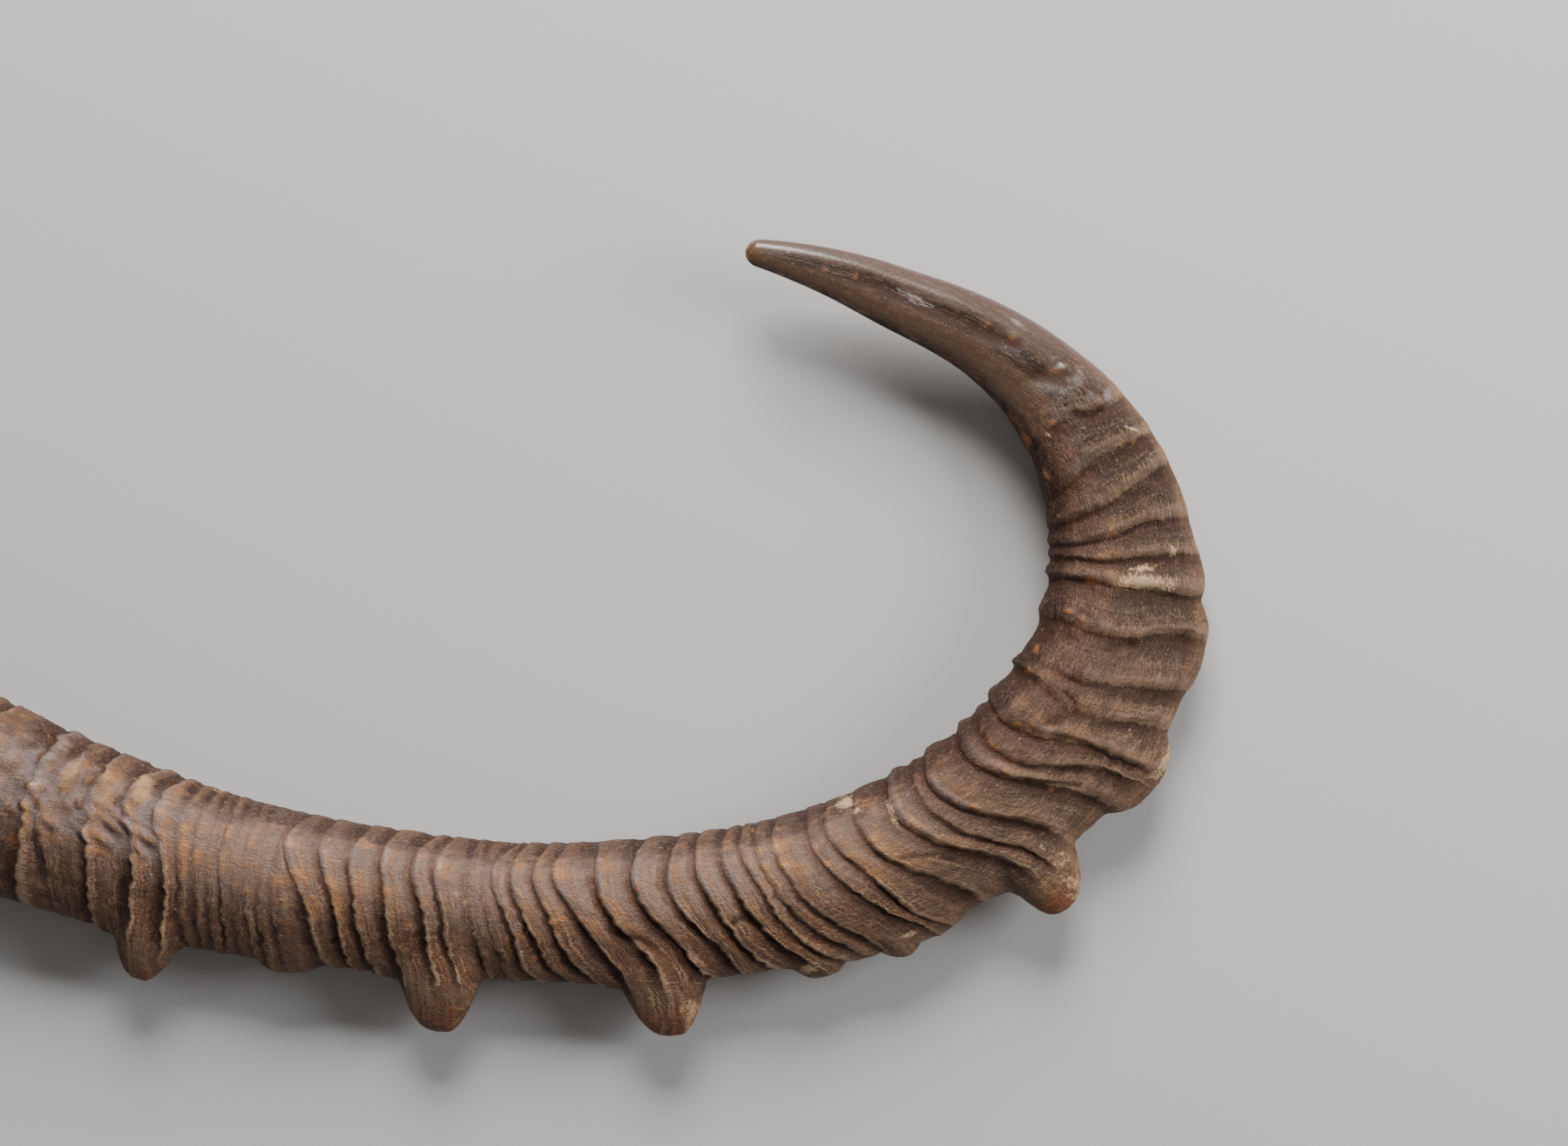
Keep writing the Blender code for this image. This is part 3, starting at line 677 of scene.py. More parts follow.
def skinTree():
    # Sweeps a closed tube of points along the horn: one row of points for each entry of the row
    # table, each row led along its growth line, and the sections placed on the bent midline.
    tree = bpy.data.node_groups.new("hornSkin", "GeometryNodeTree")
    sockets = tree.interface
    sockets.new_socket("Rows", in_out="INPUT", socket_type="NodeSocketGeometry")
    sockets.new_socket("Midline", in_out="INPUT", socket_type="NodeSocketObject")
    sockets.new_socket("Columns", in_out="INPUT", socket_type="NodeSocketInt")
    for name in skinInputs:
        sockets.new_socket(name, in_out="INPUT", socket_type="NodeSocketFloat")
    sockets.new_socket("Material", in_out="INPUT", socket_type="NodeSocketMaterial")
    sockets.new_socket("Skin", in_out="OUTPUT", socket_type="NodeSocketGeometry")
    entry = newNode(tree, "NodeGroupInput")
    given = {socket.name: Wire(tree, socket) for socket in entry.outputs if socket.name}

    count = newNode(tree, "GeometryNodeAttributeDomainSize", component="MESH")
    feed(tree, count.inputs["Geometry"], given["Rows"])
    lastRow = Wire(tree, count.outputs["Point Count"]) - 1.0
    tube = newNode(tree, "GeometryNodeMeshCylinder", fill_type="TRIANGLE_FAN")
    tubeSizes = {"Vertices": given["Columns"], "Side Segments": lastRow, "Radius": 1.0, "Depth": lastRow}
    for name, value in tubeSizes.items():
        feed(tree, tube.inputs[name], value)
    tubeX, tubeY, tubeZ = parts(Wire(tree, newNode(tree, "GeometryNodeInputPosition").outputs[0]))
    row = mathNode(tree, "ROUND", tubeZ + lastRow * 0.5)
    angle = mathNode(tree, "ARCTAN2", tubeY, tubeX)
    angle = angle + cosine(angle) * given["Columns On Top"]
    offAxis = mathNode(tree, "GREATER_THAN", size(tubeX) + size(tubeY), 0.5)

    def fromRow(name):
        node = newNode(tree, "GeometryNodeSampleIndex", data_type="FLOAT_VECTOR", clamp=True)
        node.domain = "POINT"
        feed(tree, node.inputs["Geometry"], given["Rows"])
        feed(tree, node.inputs["Value"], namedVector(tree, name))
        feed(tree, node.inputs["Index"], row)
        return Wire(tree, node.outputs[0])

    def pattern(name, place):
        grain, detail, roughness, shift = relief["patterns"][name]
        return noise(place, grain, detail, roughness, given["Seed"] + shift)

    growth, outside, _ = parts(fromRow("line"))
    power0, power1, power2 = parts(fromRow("pathLow"))
    power3, power4, _ = parts(fromRow("pathHigh"))
    fitDepth, fitThickness, _ = parts(fromRow("fit"))

    # the growth line's path round the horn, and its straying
    keelShare = 0.5 - cosine(angle) * 0.5
    path = power4
    for power in (power3, power2, power1, power0):
        path = power + keelShare * path
    # a place for the noises that keeps its scale where the horn narrows
    around = vector(tree, growth, cosine(angle) * 25.0, sine(angle) * 22.0)
    isOuter = mathNode(tree, "GREATER_THAN", outside, 0.95)
    settled = inZone(growth, "settling") * inZone(growth, "straightening") * isOuter
    stray = (pattern("wander", around) - 0.5) * 2.0 * given["Wander"]
    nearKeel = ramp(keelShare, 0.22, 0.62)
    jag = (pattern("jag", around) - 0.5) * 2.0
    jag = jag * given["Ragged Edge"] * (nearKeel * 0.7 + 0.3) * inZone(growth, "raggedLips")
    chipped = inZone(growth, "firstChips") * inZone(growth, "lastChips")
    chipped = chipped * (0.45 + 0.55 * inZone(growth, "deepChips"))
    torn = (pattern("torn", around) - 0.5) * relief["torn"]
    torn = torn * chipped * ramp(keelShare, 0.62, 0.45)
    place = growth + (path + stray + jag + torn) * settled

    midlineInfo = newNode(tree, "GeometryNodeObjectInfo", transform_space="ORIGINAL")
    feed(tree, midlineInfo.inputs["Object"], given["Midline"])
    midlineCurve = newNode(tree, "GeometryNodeMeshToCurve")
    feed(tree, midlineCurve.inputs["Mesh"], Wire(tree, midlineInfo.outputs["Geometry"]))

    def atPlace(name):
        node = newNode(tree, "GeometryNodeSampleCurve", mode="LENGTH", data_type="FLOAT_VECTOR")
        feed(tree, node.inputs["Curves"], Wire(tree, midlineCurve.outputs["Curve"]))
        feed(tree, node.inputs["Value"], namedVector(tree, name))
        feed(tree, node.inputs["Length"], place)
        return Wire(tree, node.outputs["Value"])

    spot = atPlace("spot")
    ahead = atPlace("ahead")
    fullDepth, fullThickness, flute = parts(atPlace("section"))
    knob, worn, sway = parts(atPlace("knob"))

    # the plain section: a rounded back that narrows to the keel
    onSide = sine(angle)
    depth = fullDepth * fitDepth
    thickness = fullThickness * fitThickness
    towardsKeel = cosine(angle) * depth * -0.5
    inTip = inZone(growth, "tipSection")
    squareness = inTip * (given["Tip Squareness"] - given["Squareness"]) + given["Squareness"]
    side = mathNode(tree, "SIGN", onSide) * size(onSide) ** squareness
    narrowing, lessAtTip = hornForm["keelNarrowing"]
    sharpness = narrowing - lessAtTip * inZone(growth, "fullKeel")
    upperHalf = mathNode(tree, "GREATER_THAN", side, 0.0)
    fullness = (upperHalf * 0.12 + 0.94) * (1.07 - keelShare**1.7 * sharpness)
    up = side * fullness * thickness * 0.5
    beadRise = bell(keelShare - given["Bead Share"], given["Bead Width"])
    fluteFall = bell(keelShare - given["Flute Share"], given["Flute Width"])
    fluteDepth = flute * (fluteFall - beadRise) * isOuter
    up = up - fluteDepth * smaller(larger(side * 3.0, -1.0), 1.0)

    # ridges and knobs
    atBack = ramp(keelShare, 0.36, 0.04)
    low = ramp(keelShare, 0.5, 0.85)

    def blendRound(name):
        back, middle, keel = parts(fromRow(name))
        return back * atBack + (1.0 - atBack) * (middle * (1.0 - low) + keel * low)

    patchy = larger(pattern("patchy", around) * 2.8 - 0.4, 0.15)
    onKeel = ramp(keelShare, 0.88, 0.99)
    offKeel = mathNode(tree, "ARCCOSINE", cosine(angle) * -1.0)
    offKnob = 1.0 - 0.85 * ramp(knob * bell(offKeel, 0.5), 2.0, 9.0)
    rise = blendRound("rise") * patchy * (1.0 - onKeel * 0.7) * offKnob * settled
    lines = (pattern("lines", around) - 0.5) * relief["lineHeight"]
    rise = rise + lines * (0.3 + 0.7 * low) * inZone(growth, "fineLines") * settled
    runs, leans = relief["wrinkleRun"]
    turned = vector(tree, growth * runs + towardsKeel * leans, towardsKeel * runs - growth * leans, up)
    wrinkle = ramp(cells(turned, relief["wrinkleSize"], given["Seed"] + 2.0), 0.7, 0.1) * 2.1 - 1.1
    pits = ramp(cells(around, relief["pitSize"], given["Seed"]), 0.2, 0.65) * -1.8 + 0.8
    onShoulder = ramp(keelShare, 0.06, 0.14) * ramp(keelShare, 0.36, 0.26)
    onFlank = ramp(keelShare, 0.24, 0.32) * ramp(keelShare, 0.58, 0.48)
    rise = rise * (1.0 - chipped * onFlank * 0.6) + chipped * (pits * onShoulder + wrinkle * onFlank)
    onKnob = knob * isOuter * bell(offKeel, hornForm["knobWidth"])
    towardsKeel = towardsKeel - cosine(angle) * rise + onKnob + sway
    flank, flankWidth, flankShare = hornForm["knobFlanks"]
    swelling = knob * isOuter * bell(offKeel - flank, flankWidth) * flankShare
    up = up + onSide * rise + mathNode(tree, "SIGN", onSide) * swelling

    onAxis = 1.0 - offAxis
    towardsKeel = towardsKeel * offAxis + sway * onAxis
    up = up * offAxis
    across = vectorMath(tree, "CROSS_PRODUCT", ahead, (0.0, 0.0, 1.0))
    position = vectorMath(tree, "ADD", spot, vectorMath(tree, "SCALE", across, towardsKeel))
    position = vectorMath(tree, "ADD", position, vector(tree, 0.0, 0.0, up))

    skin = Wire(tree, tube.outputs["Mesh"])
    groove, lip, drift = (blendRound(name) * offKnob for name in ("groove", "lip", "drift"))
    carried = {  # what the points carry for the marks and the finish
        "tone": (rise, groove, lip),
        "lay": (growth, towardsKeel, up),
        "where": (keelShare, isOuter, worn * bell(offKeel, 0.6)),
        "spot": (place, knob * bell(offKeel, 0.5), drift),
    }
    for name, values in carried.items():
        skin = storeVector(tree, skin, name, vector(tree, *values))
    skin = movePoints(tree, skin, position=position)

    # small unevenness, along the skin's own normals
    lay = namedVector(tree, "lay")
    layPlace, _, _ = parts(lay)
    whereShare, whereOuter, _ = parts(namedVector(tree, "where"))
    lumps = (pattern("lumps", lay) - 0.5) * 2.0
    rougher = 1.0 + 1.6 * inZone(layPlace, "coarseSkin") + 1.2 * ramp(whereShare, 0.1, 0.03)
    grit = lumps * given["Grit"] * rougher * whereOuter * inZone(layPlace, "grittySkin")
    normal = Wire(tree, newNode(tree, "GeometryNodeInputNormal").outputs[0])
    skin = movePoints(tree, skin, offset=vectorMath(tree, "SCALE", normal, grit))

    scaled = newNode(tree, "GeometryNodeTransform")
    feed(tree, scaled.inputs["Geometry"], skin)
    scaled.inputs["Scale"].default_value = (millimetre,) * 3
    smooth = newNode(tree, "GeometryNodeSetShadeSmooth")
    feed(tree, smooth.inputs["Geometry"], Wire(tree, scaled.outputs[0]))
    realized = newNode(tree, "GeometryNodeRealizeInstances")
    feed(tree, realized.inputs["Geometry"], Wire(tree, smooth.outputs[0]))
    painted = newNode(tree, "GeometryNodeSetMaterial")
    feed(tree, painted.inputs["Geometry"], Wire(tree, realized.outputs[0]))
    feed(tree, painted.inputs["Material"], given["Material"])
    leave = newNode(tree, "NodeGroupOutput")
    tree.links.new(painted.outputs[0], leave.inputs["Skin"])
    return tree


def socketId(tree, name):
    for item in tree.interface.items_tree:
        if item.item_type == "SOCKET" and item.in_out == "INPUT" and item.name == name:
            return item.identifier


def signedVolume(mesh):
    mesh.calc_loop_triangles()
    points = np.array([vert.co for vert in mesh.vertices])
    corners = np.array([triangle.vertices for triangle in mesh.loop_triangles])
    a, b, c = (points[corners[:, i]] for i in range(3))
    return float(np.einsum("ij,ij->i", a, np.cross(b, c)).sum() / 6)


def placeOnFrame(mesh):
    # sets the skin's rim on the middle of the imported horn's rim, and its lowest point on the floor
    cad = np.array([vert.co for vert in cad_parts["horn"].data.vertices])
    rim = cad[cad[:, 1] > cadHigh.y - 0.1 * millimetre]
    points = np.array([vert.co for vert in mesh.vertices])
    shift = Vector(((rim[:, 0].min() + rim[:, 0].max()) / 2, cadHigh.y - points[:, 1].max(), 0.0))
    shift.z = cadLow.z - points[:, 2].min()
    mesh.transform(Matrix.Translation(shift))


def distanceToLine(places, aside, points):
    # from each spot of the skin to a line of joined points, in millimetres
    nearest = np.full(len(places), 1e9)
    for (startPlace, startAside), (endPlace, endAside) in zip(points, points[1:]):
        runPlace, runAside = endPlace - startPlace, endAside - startAside
        share = (places - startPlace) * runPlace + (aside - startAside) * runAside
        share = np.clip(share / (runPlace**2 + runAside**2), 0.0, 1.0)
        gap = np.hypot(places - startPlace - share * runPlace, aside - startAside - share * runAside)
        nearest = np.minimum(nearest, gap)
    return nearest


def addMarks(mesh):
    # presses the creases into the skin, raises the patches, and stores both as an attribute
    def stored(name):
        values = np.empty(len(mesh.vertices) * 3, np.float32)
        mesh.attributes[name].data.foreach_get("vector", values)
        return values.reshape(-1, 3)

    places = stored("spot")[:, 0]
    aside = stored("lay")[:, 1]
    low, high = hornMarks["upperSide"]
    onTop = smoothStep((stored("lay")[:, 2] - low) / (high - low)) * stored("where")[:, 1]
    depth = softened(hornForm["depth"])
    sway = softened(hornForm["sway"])

    def asideAt(place, share):
        return np.interp(place, gridPlaces, (share - 0.5) * depth + sway)

    outwards = np.zeros(len(places))
    marks = {kind: np.zeros(len(places)) for kind in ("crease", *hornMarks["patches"])}
    for deep, width, dark, points in hornMarks["creases"]:
        line = [(place, asideAt(place, share)) for place, share in points]
        near = np.exp(-((distanceToLine(places, aside, line) / width) ** 2)) * onTop
        outwards -= deep * near
        marks["crease"] = np.maximum(marks["crease"], dark * near)
    for kind, patches in hornMarks["patches"].items():
        for place, share, along, across, lean, rise in patches:
            fromMiddle = aside - asideAt(place, share)
            offLine = places - place - lean * fromMiddle
            inside = np.clip(1.0 - np.hypot(offLine / along, fromMiddle / across), -0.5, 1.0) + 0.5
            marks[kind] = np.maximum(marks[kind], inside * onTop)
            outwards += rise * smoothStep(inside * onTop - hornMarks["patchEdge"])

    points = np.array([vert.co for vert in mesh.vertices])
    normals = np.array([vert.normal for vert in mesh.vertices])
    points += normals * outwards[:, None] * millimetre
    mesh.vertices.foreach_set("co", points.ravel())
    # marks holds the creases' painted shade, the pale chips and the amber stains; stains holds the tan
    # spots, the polished shine patches, which carry a painted glint, and the plain bosses
    for name, kinds in (("marks", ("crease", "pale", "amber")), ("stains", ("tan", "shine", "plain"))):
        attribute = mesh.attributes.new(name, "FLOAT_VECTOR", "POINT")
        attribute.data.foreach_set("vector", np.stack([marks[kind] for kind in kinds], axis=1).ravel())
    mesh.update()


def makeHorn(material):
    rows = tableObject("hornRows", rowTable(), 1.0)
    midline = tableObject("hornMidline", midlineTable(), gridStep)
    tree = skinTree()
    modifier = rows.modifiers.new("skin", "NODES")
    modifier.node_group = tree
    values = {"Midline": midline, "Columns": relief["columns"], "Material": material}
    for name, value in {**values, **skinInputs}.items():
        modifier[socketId(tree, name)] = value
    evaluated = rows.evaluated_get(bpy.context.evaluated_depsgraph_get())
    mesh = bpy.data.meshes.new_from_object(evaluated)
    mesh.name = "ibexHorn"
    rows.modifiers.remove(modifier)
    for helper in (rows, midline):
        bpy.data.objects.remove(helper)
    if signedVolume(mesh) < 0.0:
        mesh.flip_normals()
    addMarks(mesh)
    placeOnFrame(mesh)
    horn = bpy.data.objects.new("ibexHorn", mesh)
    bpy.context.scene.collection.objects.link(horn)
    triangles = sum(len(face.vertices) - 2 for face in mesh.polygons)
    print("horn skin:", len(mesh.vertices), "points,", triangles, "triangles")
    return horn


hornFinish = {
    "colours": {  # as shown on a screen, 0 to 255
        "tan": (174, 122, 82),
        "greyPink": (140, 113, 99),
        # paintedSheen: a painted grey sheen on the lips, in the torn stretch's hollows and on the shine
        # patches
        "paintedSheen": (143, 130, 128),
        # lowBrown: the lower side's brown, partly its own colour and partly painted shade
        "lowBrown": (108, 66, 36),
        "backBrown": (40, 14, 4),
        "crevice": (62, 31, 14),
        # dusk: painted shade on the ridges' slopes, and the lines in the cavity
        "dusk": (98, 64, 44),
        "thread": (196, 158, 124),
        "gold": (202, 156, 112),
        "spark": (214, 150, 88),
        "keelBrown": (134, 98, 68),
        "knobEnd": (146, 72, 24),
        "olive": (110, 84, 64),
        "oliveDark": (70, 51, 38),
        "umber": (82, 47, 30),
        "rust": (124, 76, 48),
        "tipBrown": (84, 63, 48),
        "bead": (94, 77, 69),
        "beadEdge": (76, 40, 28),
        "tipDark": (34, 20, 14),
        "amber": (160, 102, 58),
        "pale": (224, 188, 146),
        "cavity": (150, 128, 104),
        "cavityDark": (124, 100, 76),
    },
    "patterns": {  # a patch's length along the horn, across and up, then detail, roughness and shift
        "broad": ((40.0, 14.0, 14.0), 2.0, 0.5, 0.0),
        "mottled": ((9.0, 4.5, 4.5), 4.0, 0.6, 5.0),
        "speckled": ((1.2, 0.9, 0.9), 3.0, 0.65, 11.0),
        "fibres": ((9.0, 0.5, 0.5), 3.0, 0.6, 2.0),
        "fringe": ((4.5, 0.8, 0.8), 2.0, 0.6, 9.0),
        "lines": ((0.9, 26.0, 26.0), 3.0, 0.7, 7.0),
    },
    "cover": {  # how strongly the main layers cover what is below them, from 0 to 1
        "lowSide": 0.88,
        "backEdge": 0.97,
        "darkLines": 0.68,
        "paleLines": 0.55,
        "darkFibres": 0.55,
        "paleFibres": 0.42,
        "paintedLipSheen": 0.68,
        "lipHighlights": 0.88,
        "lowGrooves": 0.68,
        "highGrooves": 0.6,
        "creases": 0.7,
        "stains": 0.75,
        "chips": 0.75,
        "wornKnobs": 0.72,
    },
    "roughness": {  # of the plain shaft, and what each place adds to it
        "shaft": 0.38,
        "curl": 0.07,
        "tip": 0.05,
        "bead": -0.32,
        "mottled": 0.3,
        "grooves": 0.3,
        "cavity": 0.25,
        "backEdge": 0.3,
        "lips": -0.14,
        "valley": -0.15,
        "shine": -0.3,
    },
    "leastRoughness": 0.12,
    "coatRoughness": 0.3,
    "specular": 0.34,
    "heights": {  # of the finest relief, in millimetres
        "fibres": 0.8,
        "lines": 2.2,
        "speckled": 0.4,
        "grooves": 0.4,
        "mottled": 0.7,
    },
}


def screenColour(name):
    # the named colour as linear values
    levels = [value / 255.0 for value in hornFinish["colours"][name]]
    return (*(((level + 0.055) / 1.055) ** 2.4 for level in levels), 1.0)


def attributeVector(tree, name):
    node = newNode(tree, "ShaderNodeAttribute", attribute_name=name)
    return Wire(tree, node.outputs["Vector"])


def hornMaterial():
    material = bpy.data.materials.new("hornKeratin")
    material.use_nodes = True
    tree = material.node_tree
    shader = tree.nodes["Principled BSDF"]
    lay = attributeVector(tree, "lay")
    growth, aside, up = parts(lay)
    place, knob, drift = parts(attributeVector(tree, "spot"))
    rise, groove, lip = parts(attributeVector(tree, "tone"))
    keelShare, outer, worn = parts(attributeVector(tree, "where"))
    crease, paleSpot, amberSpot = parts(attributeVector(tree, "marks"))
    tanSpot, shine, _ = parts(attributeVector(tree, "stains"))
    cover = hornFinish["cover"]

    def pattern(name, place=lay):
        return noise(place, *hornFinish["patterns"][name]) - 0.5

    broad = pattern("broad")
    mottled = pattern("mottled")
    speckled = pattern("speckled")
    fibres = pattern("fibres")
    fringe = pattern("fringe")
    lines = pattern("lines", vector(tree, growth + fringe * 2.6 + speckled * 0.8, aside, up))

    inCurl = inZone(place, "curl")
    inTip = inZone(place, "tip")
    lowSide = ramp(keelShare + mottled * 0.25, 0.5, 0.75)
    middleDown = ramp(keelShare, 0.34, 0.64)

    def paint(amount, name):
        return blendColour(amount, colour, screenColour(name))

    # ground colours of the shaft: grey-pink on the ridges, tan towards the grooves, brown low down, which
    # is partly the horn's own colour and partly painted shade
    tanShare = ramp(broad + mottled * 1.6 - drift * 0.5 - rise * 0.2, -0.1, 0.7)
    colour = blendColour(tanShare, screenColour("greyPink"), screenColour("tan"))
    colour = paint(lowSide * cover["lowSide"], "lowBrown")
    # painted shade on each ridge's slope down to the next step
    ridgeSlopeShade = ramp(drift + mottled * 1.5 + fringe * 1.2, 0.0, 0.9)
    colour = paint(ridgeSlopeShade * (0.7 - 0.2 * lowSide), "dusk")

    # ground colours of the curl and the tip, with painted shade and painted light where marked
    oliveShare = ramp(mottled * 1.4 + broad + rise * 0.3, -0.3, 0.35)
    oliveShare = oliveShare * (1.0 - 0.45 * inZone(place, "lessOlive"))
    curlColour = blendColour(oliveShare, screenColour("oliveDark"), screenColour("olive"))
    atBack = ramp(keelShare + mottled * 0.35, 0.5, 0.32)
    umberShare = atBack * inZone(place, "umberBack") * 0.7
    curlColour = blendColour(umberShare, curlColour, screenColour("umber"))
    rust = ramp(mottled + broad * 0.8 + speckled * 0.6, 0.05, 0.35) * (0.25 + 0.35 * atBack)
    curlColour = blendColour(rust, curlColour, screenColour("rust"))
    # painted shade on the keel half of the curl's end
    shaded = ramp(keelShare + mottled * 0.3, 0.3, 0.5) * inZone(place, "shade")
    shaded = shaded * (0.58 + 0.36 * inZone(place, "deepShade"))
    curlColour = blendColour(shaded, curlColour, screenColour("tipDark"))
    colour = blendColour(inCurl, colour, curlColour)
    colour = paint(inTip * 0.9, "tipBrown")
    # painted light on the tip's back side, which turns away from the lamps
    colour = paint(ramp(keelShare, 0.3, 0.1) * inTip * 0.45, "greyPink")
    alongBead = inZone(place, "bead")
    colour = paint(ramp(keelShare + mottled * 0.2, 0.66, 0.8) * alongBead * 0.7, "bead")
    colour = paint(ramp(keelShare + mottled * 0.12, 0.86, 0.94) * alongBead * 0.9, "beadEdge")
    beadStreaks = ramp(fibres + speckled * 0.7, 0.0, 0.2) * ramp(keelShare, 0.66, 0.8)
    colour = paint(beadStreaks * inZone(place, "beadStreaks") * 0.5, "tipDark")
    strayed = keelShare + mottled * 0.22
    # painted shade in a band along the middle of the tip, below the bead
    tipValleyShade = ramp(strayed, 0.36, 0.48) * ramp(strayed, 0.74, 0.6)
    tipValleyShade = tipValleyShade * inZone(place, "valley") * inZone(place, "valleyEnd")
    colour = paint(tipValleyShade * 0.9, "tipDark")
    # painted shade below the bead's start
    onNeck = bell(place - neckShade["middle"], neckShade["length"])
    shadeBelowBead = onNeck * ramp(strayed, 0.4, 0.55) * ramp(strayed, 0.9, 0.78)
    colour = paint(shadeBelowBead * 0.6, "tipDark")
    keelStrip = ramp(keelShare + mottled * 0.15 + fibres * 0.1, 0.88, 0.97) * (1.0 - inTip)
    colour = paint(keelStrip * 0.7, "keelBrown")
    colour = paint(ramp(knob + mottled * 8.0, 2.0, 9.0) * 0.75, "keelBrown")
    colour = paint(ramp(knob + mottled * 14.0, 8.5, 14.5) * (1.0 - worn * 0.7) * 0.8, "knobEnd")
    colour = paint(inZone(place + mottled * 12.0 + speckled * 6.0, "wornEnd") * 0.45, "amber")
    fan = ramp(knob, 1.2, 3.5) * bell(place - fans["middle"], fans["length"])
    colour = paint(fan * ramp(fibres + mottled, -0.05, 0.15) * 0.6, "thread")
    breaks = ramp(mottled + speckled * 0.7, 0.02, 0.14)
    colour = paint(inZone(place, "brokenEnd") * breaks * 0.6, "tipDark")

    # the back's dark edge, broken by the ridges
    streaks = mottled * 0.24 + lines * 0.1 * (1.0 - inTip) + fringe * 0.08
    backEdge = ramp(keelShare + streaks + inTip * 0.08, 0.19, 0.05)
    onRidges = larger(ramp(drift + mottled * 2.0 + fringe, -0.35, 0.25), inCurl)
    backEdge = backEdge * (0.78 + 0.22 * onRidges)
    colour = paint(backEdge * cover["backEdge"], "backBrown")
    flecks = ramp(mottled + fringe * 0.8 + speckled * 0.5 + inTip * 0.08, 0.14, 0.3)
    flecks = flecks * ramp(keelShare, 0.13, 0.03) * (0.3 + 0.4 * inCurl)
    colour = paint(flecks, "amber")

    # growth lines across the horn, fibres along it
    across = (0.28 + 0.72 * middleDown) * (1.0 - inCurl * 0.65)
    across = across * (1.0 - inTip) * (1.0 - backEdge * 0.6)
    colour = paint(ramp(lines, 0.0, 0.13) * cover["darkLines"] * across, "crevice")
    colour = paint(ramp(lines, -0.04, -0.14) * cover["paleLines"] * across, "thread")
    along = 0.35 + 0.25 * middleDown + inCurl * 0.25
    along = along * (1.0 - inTip * 0.6) * (1.0 - backEdge * 0.5)
    colour = paint(ramp(fibres, 0.0, 0.13) * cover["darkFibres"] * along, "crevice")
    colour = paint(ramp(fibres, -0.03, -0.15) * cover["paleFibres"] * along, "thread")
    darkGrain = ramp(speckled, 0.03, 0.15) * (0.24 + 0.12 * inCurl)
    colour = paint(darkGrain * (1.0 - inTip * 0.4), "crevice")
    colour = paint(ramp(speckled, -0.04, -0.15) * 0.16 * (1.0 - inTip * 0.6), "thread")
    tanSpots = ramp(mottled - speckled * 0.6, 0.17, 0.3) * (1.0 - inCurl)
    colour = paint(tanSpots * (1.0 - lowSide) * 0.45, "tan")

    # lips: a painted grey sheen on the shoulder, paler threads lower down with a painted highlight on
    # their edges; then the dark of the grooves, partly dirt and partly painted shade
    onShaft = (1.0 - inCurl * 0.75) * (1.0 - inTip)
    # painted shade in the low parts between the ridges, on the lower side and in the curl
    valley = ramp(rise + mottled * 1.2 + fringe * 1.4, 0.35, -0.75)
    lowValleyShade = valley * larger(ramp(keelShare, 0.4, 0.62), inCurl * 0.7)
    colour = paint(lowValleyShade * (1.0 - inTip) * 0.6, "crevice")
    softLip = ramp(lip + mottled * 1.2 + fringe * 0.5, 0.2, 0.95)
    softLip = softLip * onShaft * (1.0 - backEdge * 0.75)
    # painted grey sheen on the lips of the shoulder
    lipSheen = softLip * ramp(keelShare + mottled * 0.2, 0.52, 0.36)
    colour = paint(lipSheen * cover["paintedLipSheen"], "paintedSheen")
    # painted highlight on the pale edges of the lips lower down
    lipHighlight = ramp(lip + fringe * 1.4 + speckled * 0.6, 0.42, 0.75) * onShaft
    colour = paint(lipHighlight * ramp(keelShare, 0.34, 0.55) * cover["lipHighlights"], "thread")
    sparks = ramp(mottled + broad * 0.8 + speckled * 0.9, 0.02, 0.22)
    sparks = sparks * bell(keelShare - 0.38, 0.24) * onShaft
    colour = paint(sparks * ramp(lip + fringe * 0.9 + rise * 0.3, 0.0, 0.45) * 0.85, "spark")
    # the grooves' dark, partly dirt in them and partly painted shade
    lowGroove = ramp(groove + fringe * 0.7 + mottled * 0.5, 0.12, 0.7)
    highGroove = ramp(groove + mottled * 0.6 + speckled * 0.4, 0.35, 0.95)
    inGroove = lowGroove * middleDown * cover["lowGrooves"]
    inGroove = inGroove + highGroove * (1.0 - middleDown) * cover["highGrooves"]
    inGroove = inGroove * (1.0 - inCurl * 0.45) * (1.0 - inTip)
    # painted grey sheen in the hollows of the torn stretch near the base
    onChips = inZone(place, "sheenChips") * ramp(keelShare + mottled * 0.2, 0.6, 0.45)
    onChips = onChips * (1.0 - backEdge) * (0.4 + 0.6 * inZone(place, "deepChips"))
    colour = paint(ramp(rise + mottled * 1.6 + fringe, 0.1, -0.8) * onChips * 0.5, "paintedSheen")
    # painted shade in the creases
    creaseShade = ramp(crease + mottled * 0.4, 0.15, 0.9) * cover["creases"]
    inGroove = larger(inGroove * (1.0 - onChips * 0.4), creaseShade)
    colour = paint(inGroove, "crevice")

    # chips and stains, polished shine patches with a painted glint, worn sides of the knobs, and the
    # cavity
    colour = paint(ramp(tanSpot + mottled * 1.6 + speckled * 1.4, 0.4, 1.1) * 0.58, "gold")
    amberPart = ramp(amberSpot + mottled * 1.2 + speckled * 1.6, 0.45, 1.15)
    colour = paint(amberPart * (cover["stains"] - 0.45 * inTip), "amber")
    palePart = ramp(paleSpot + mottled * 1.4 + speckled * 2.6 + fibres * 1.4, 0.45, 1.15)
    colour = paint(palePart * cover["chips"], "pale")
    wornPart = ramp(worn + mottled * 1.5 + speckled * 1.2 + fringe * 0.6, 0.35, 0.75)
    colour = paint(wornPart * cover["wornKnobs"], "pale")
    glints = ramp(mottled + speckled * 0.9, 0.08, 0.2) * ramp(knob, 4.0, 9.0)
    colour = paint(glints * worn * 0.8, "gold")
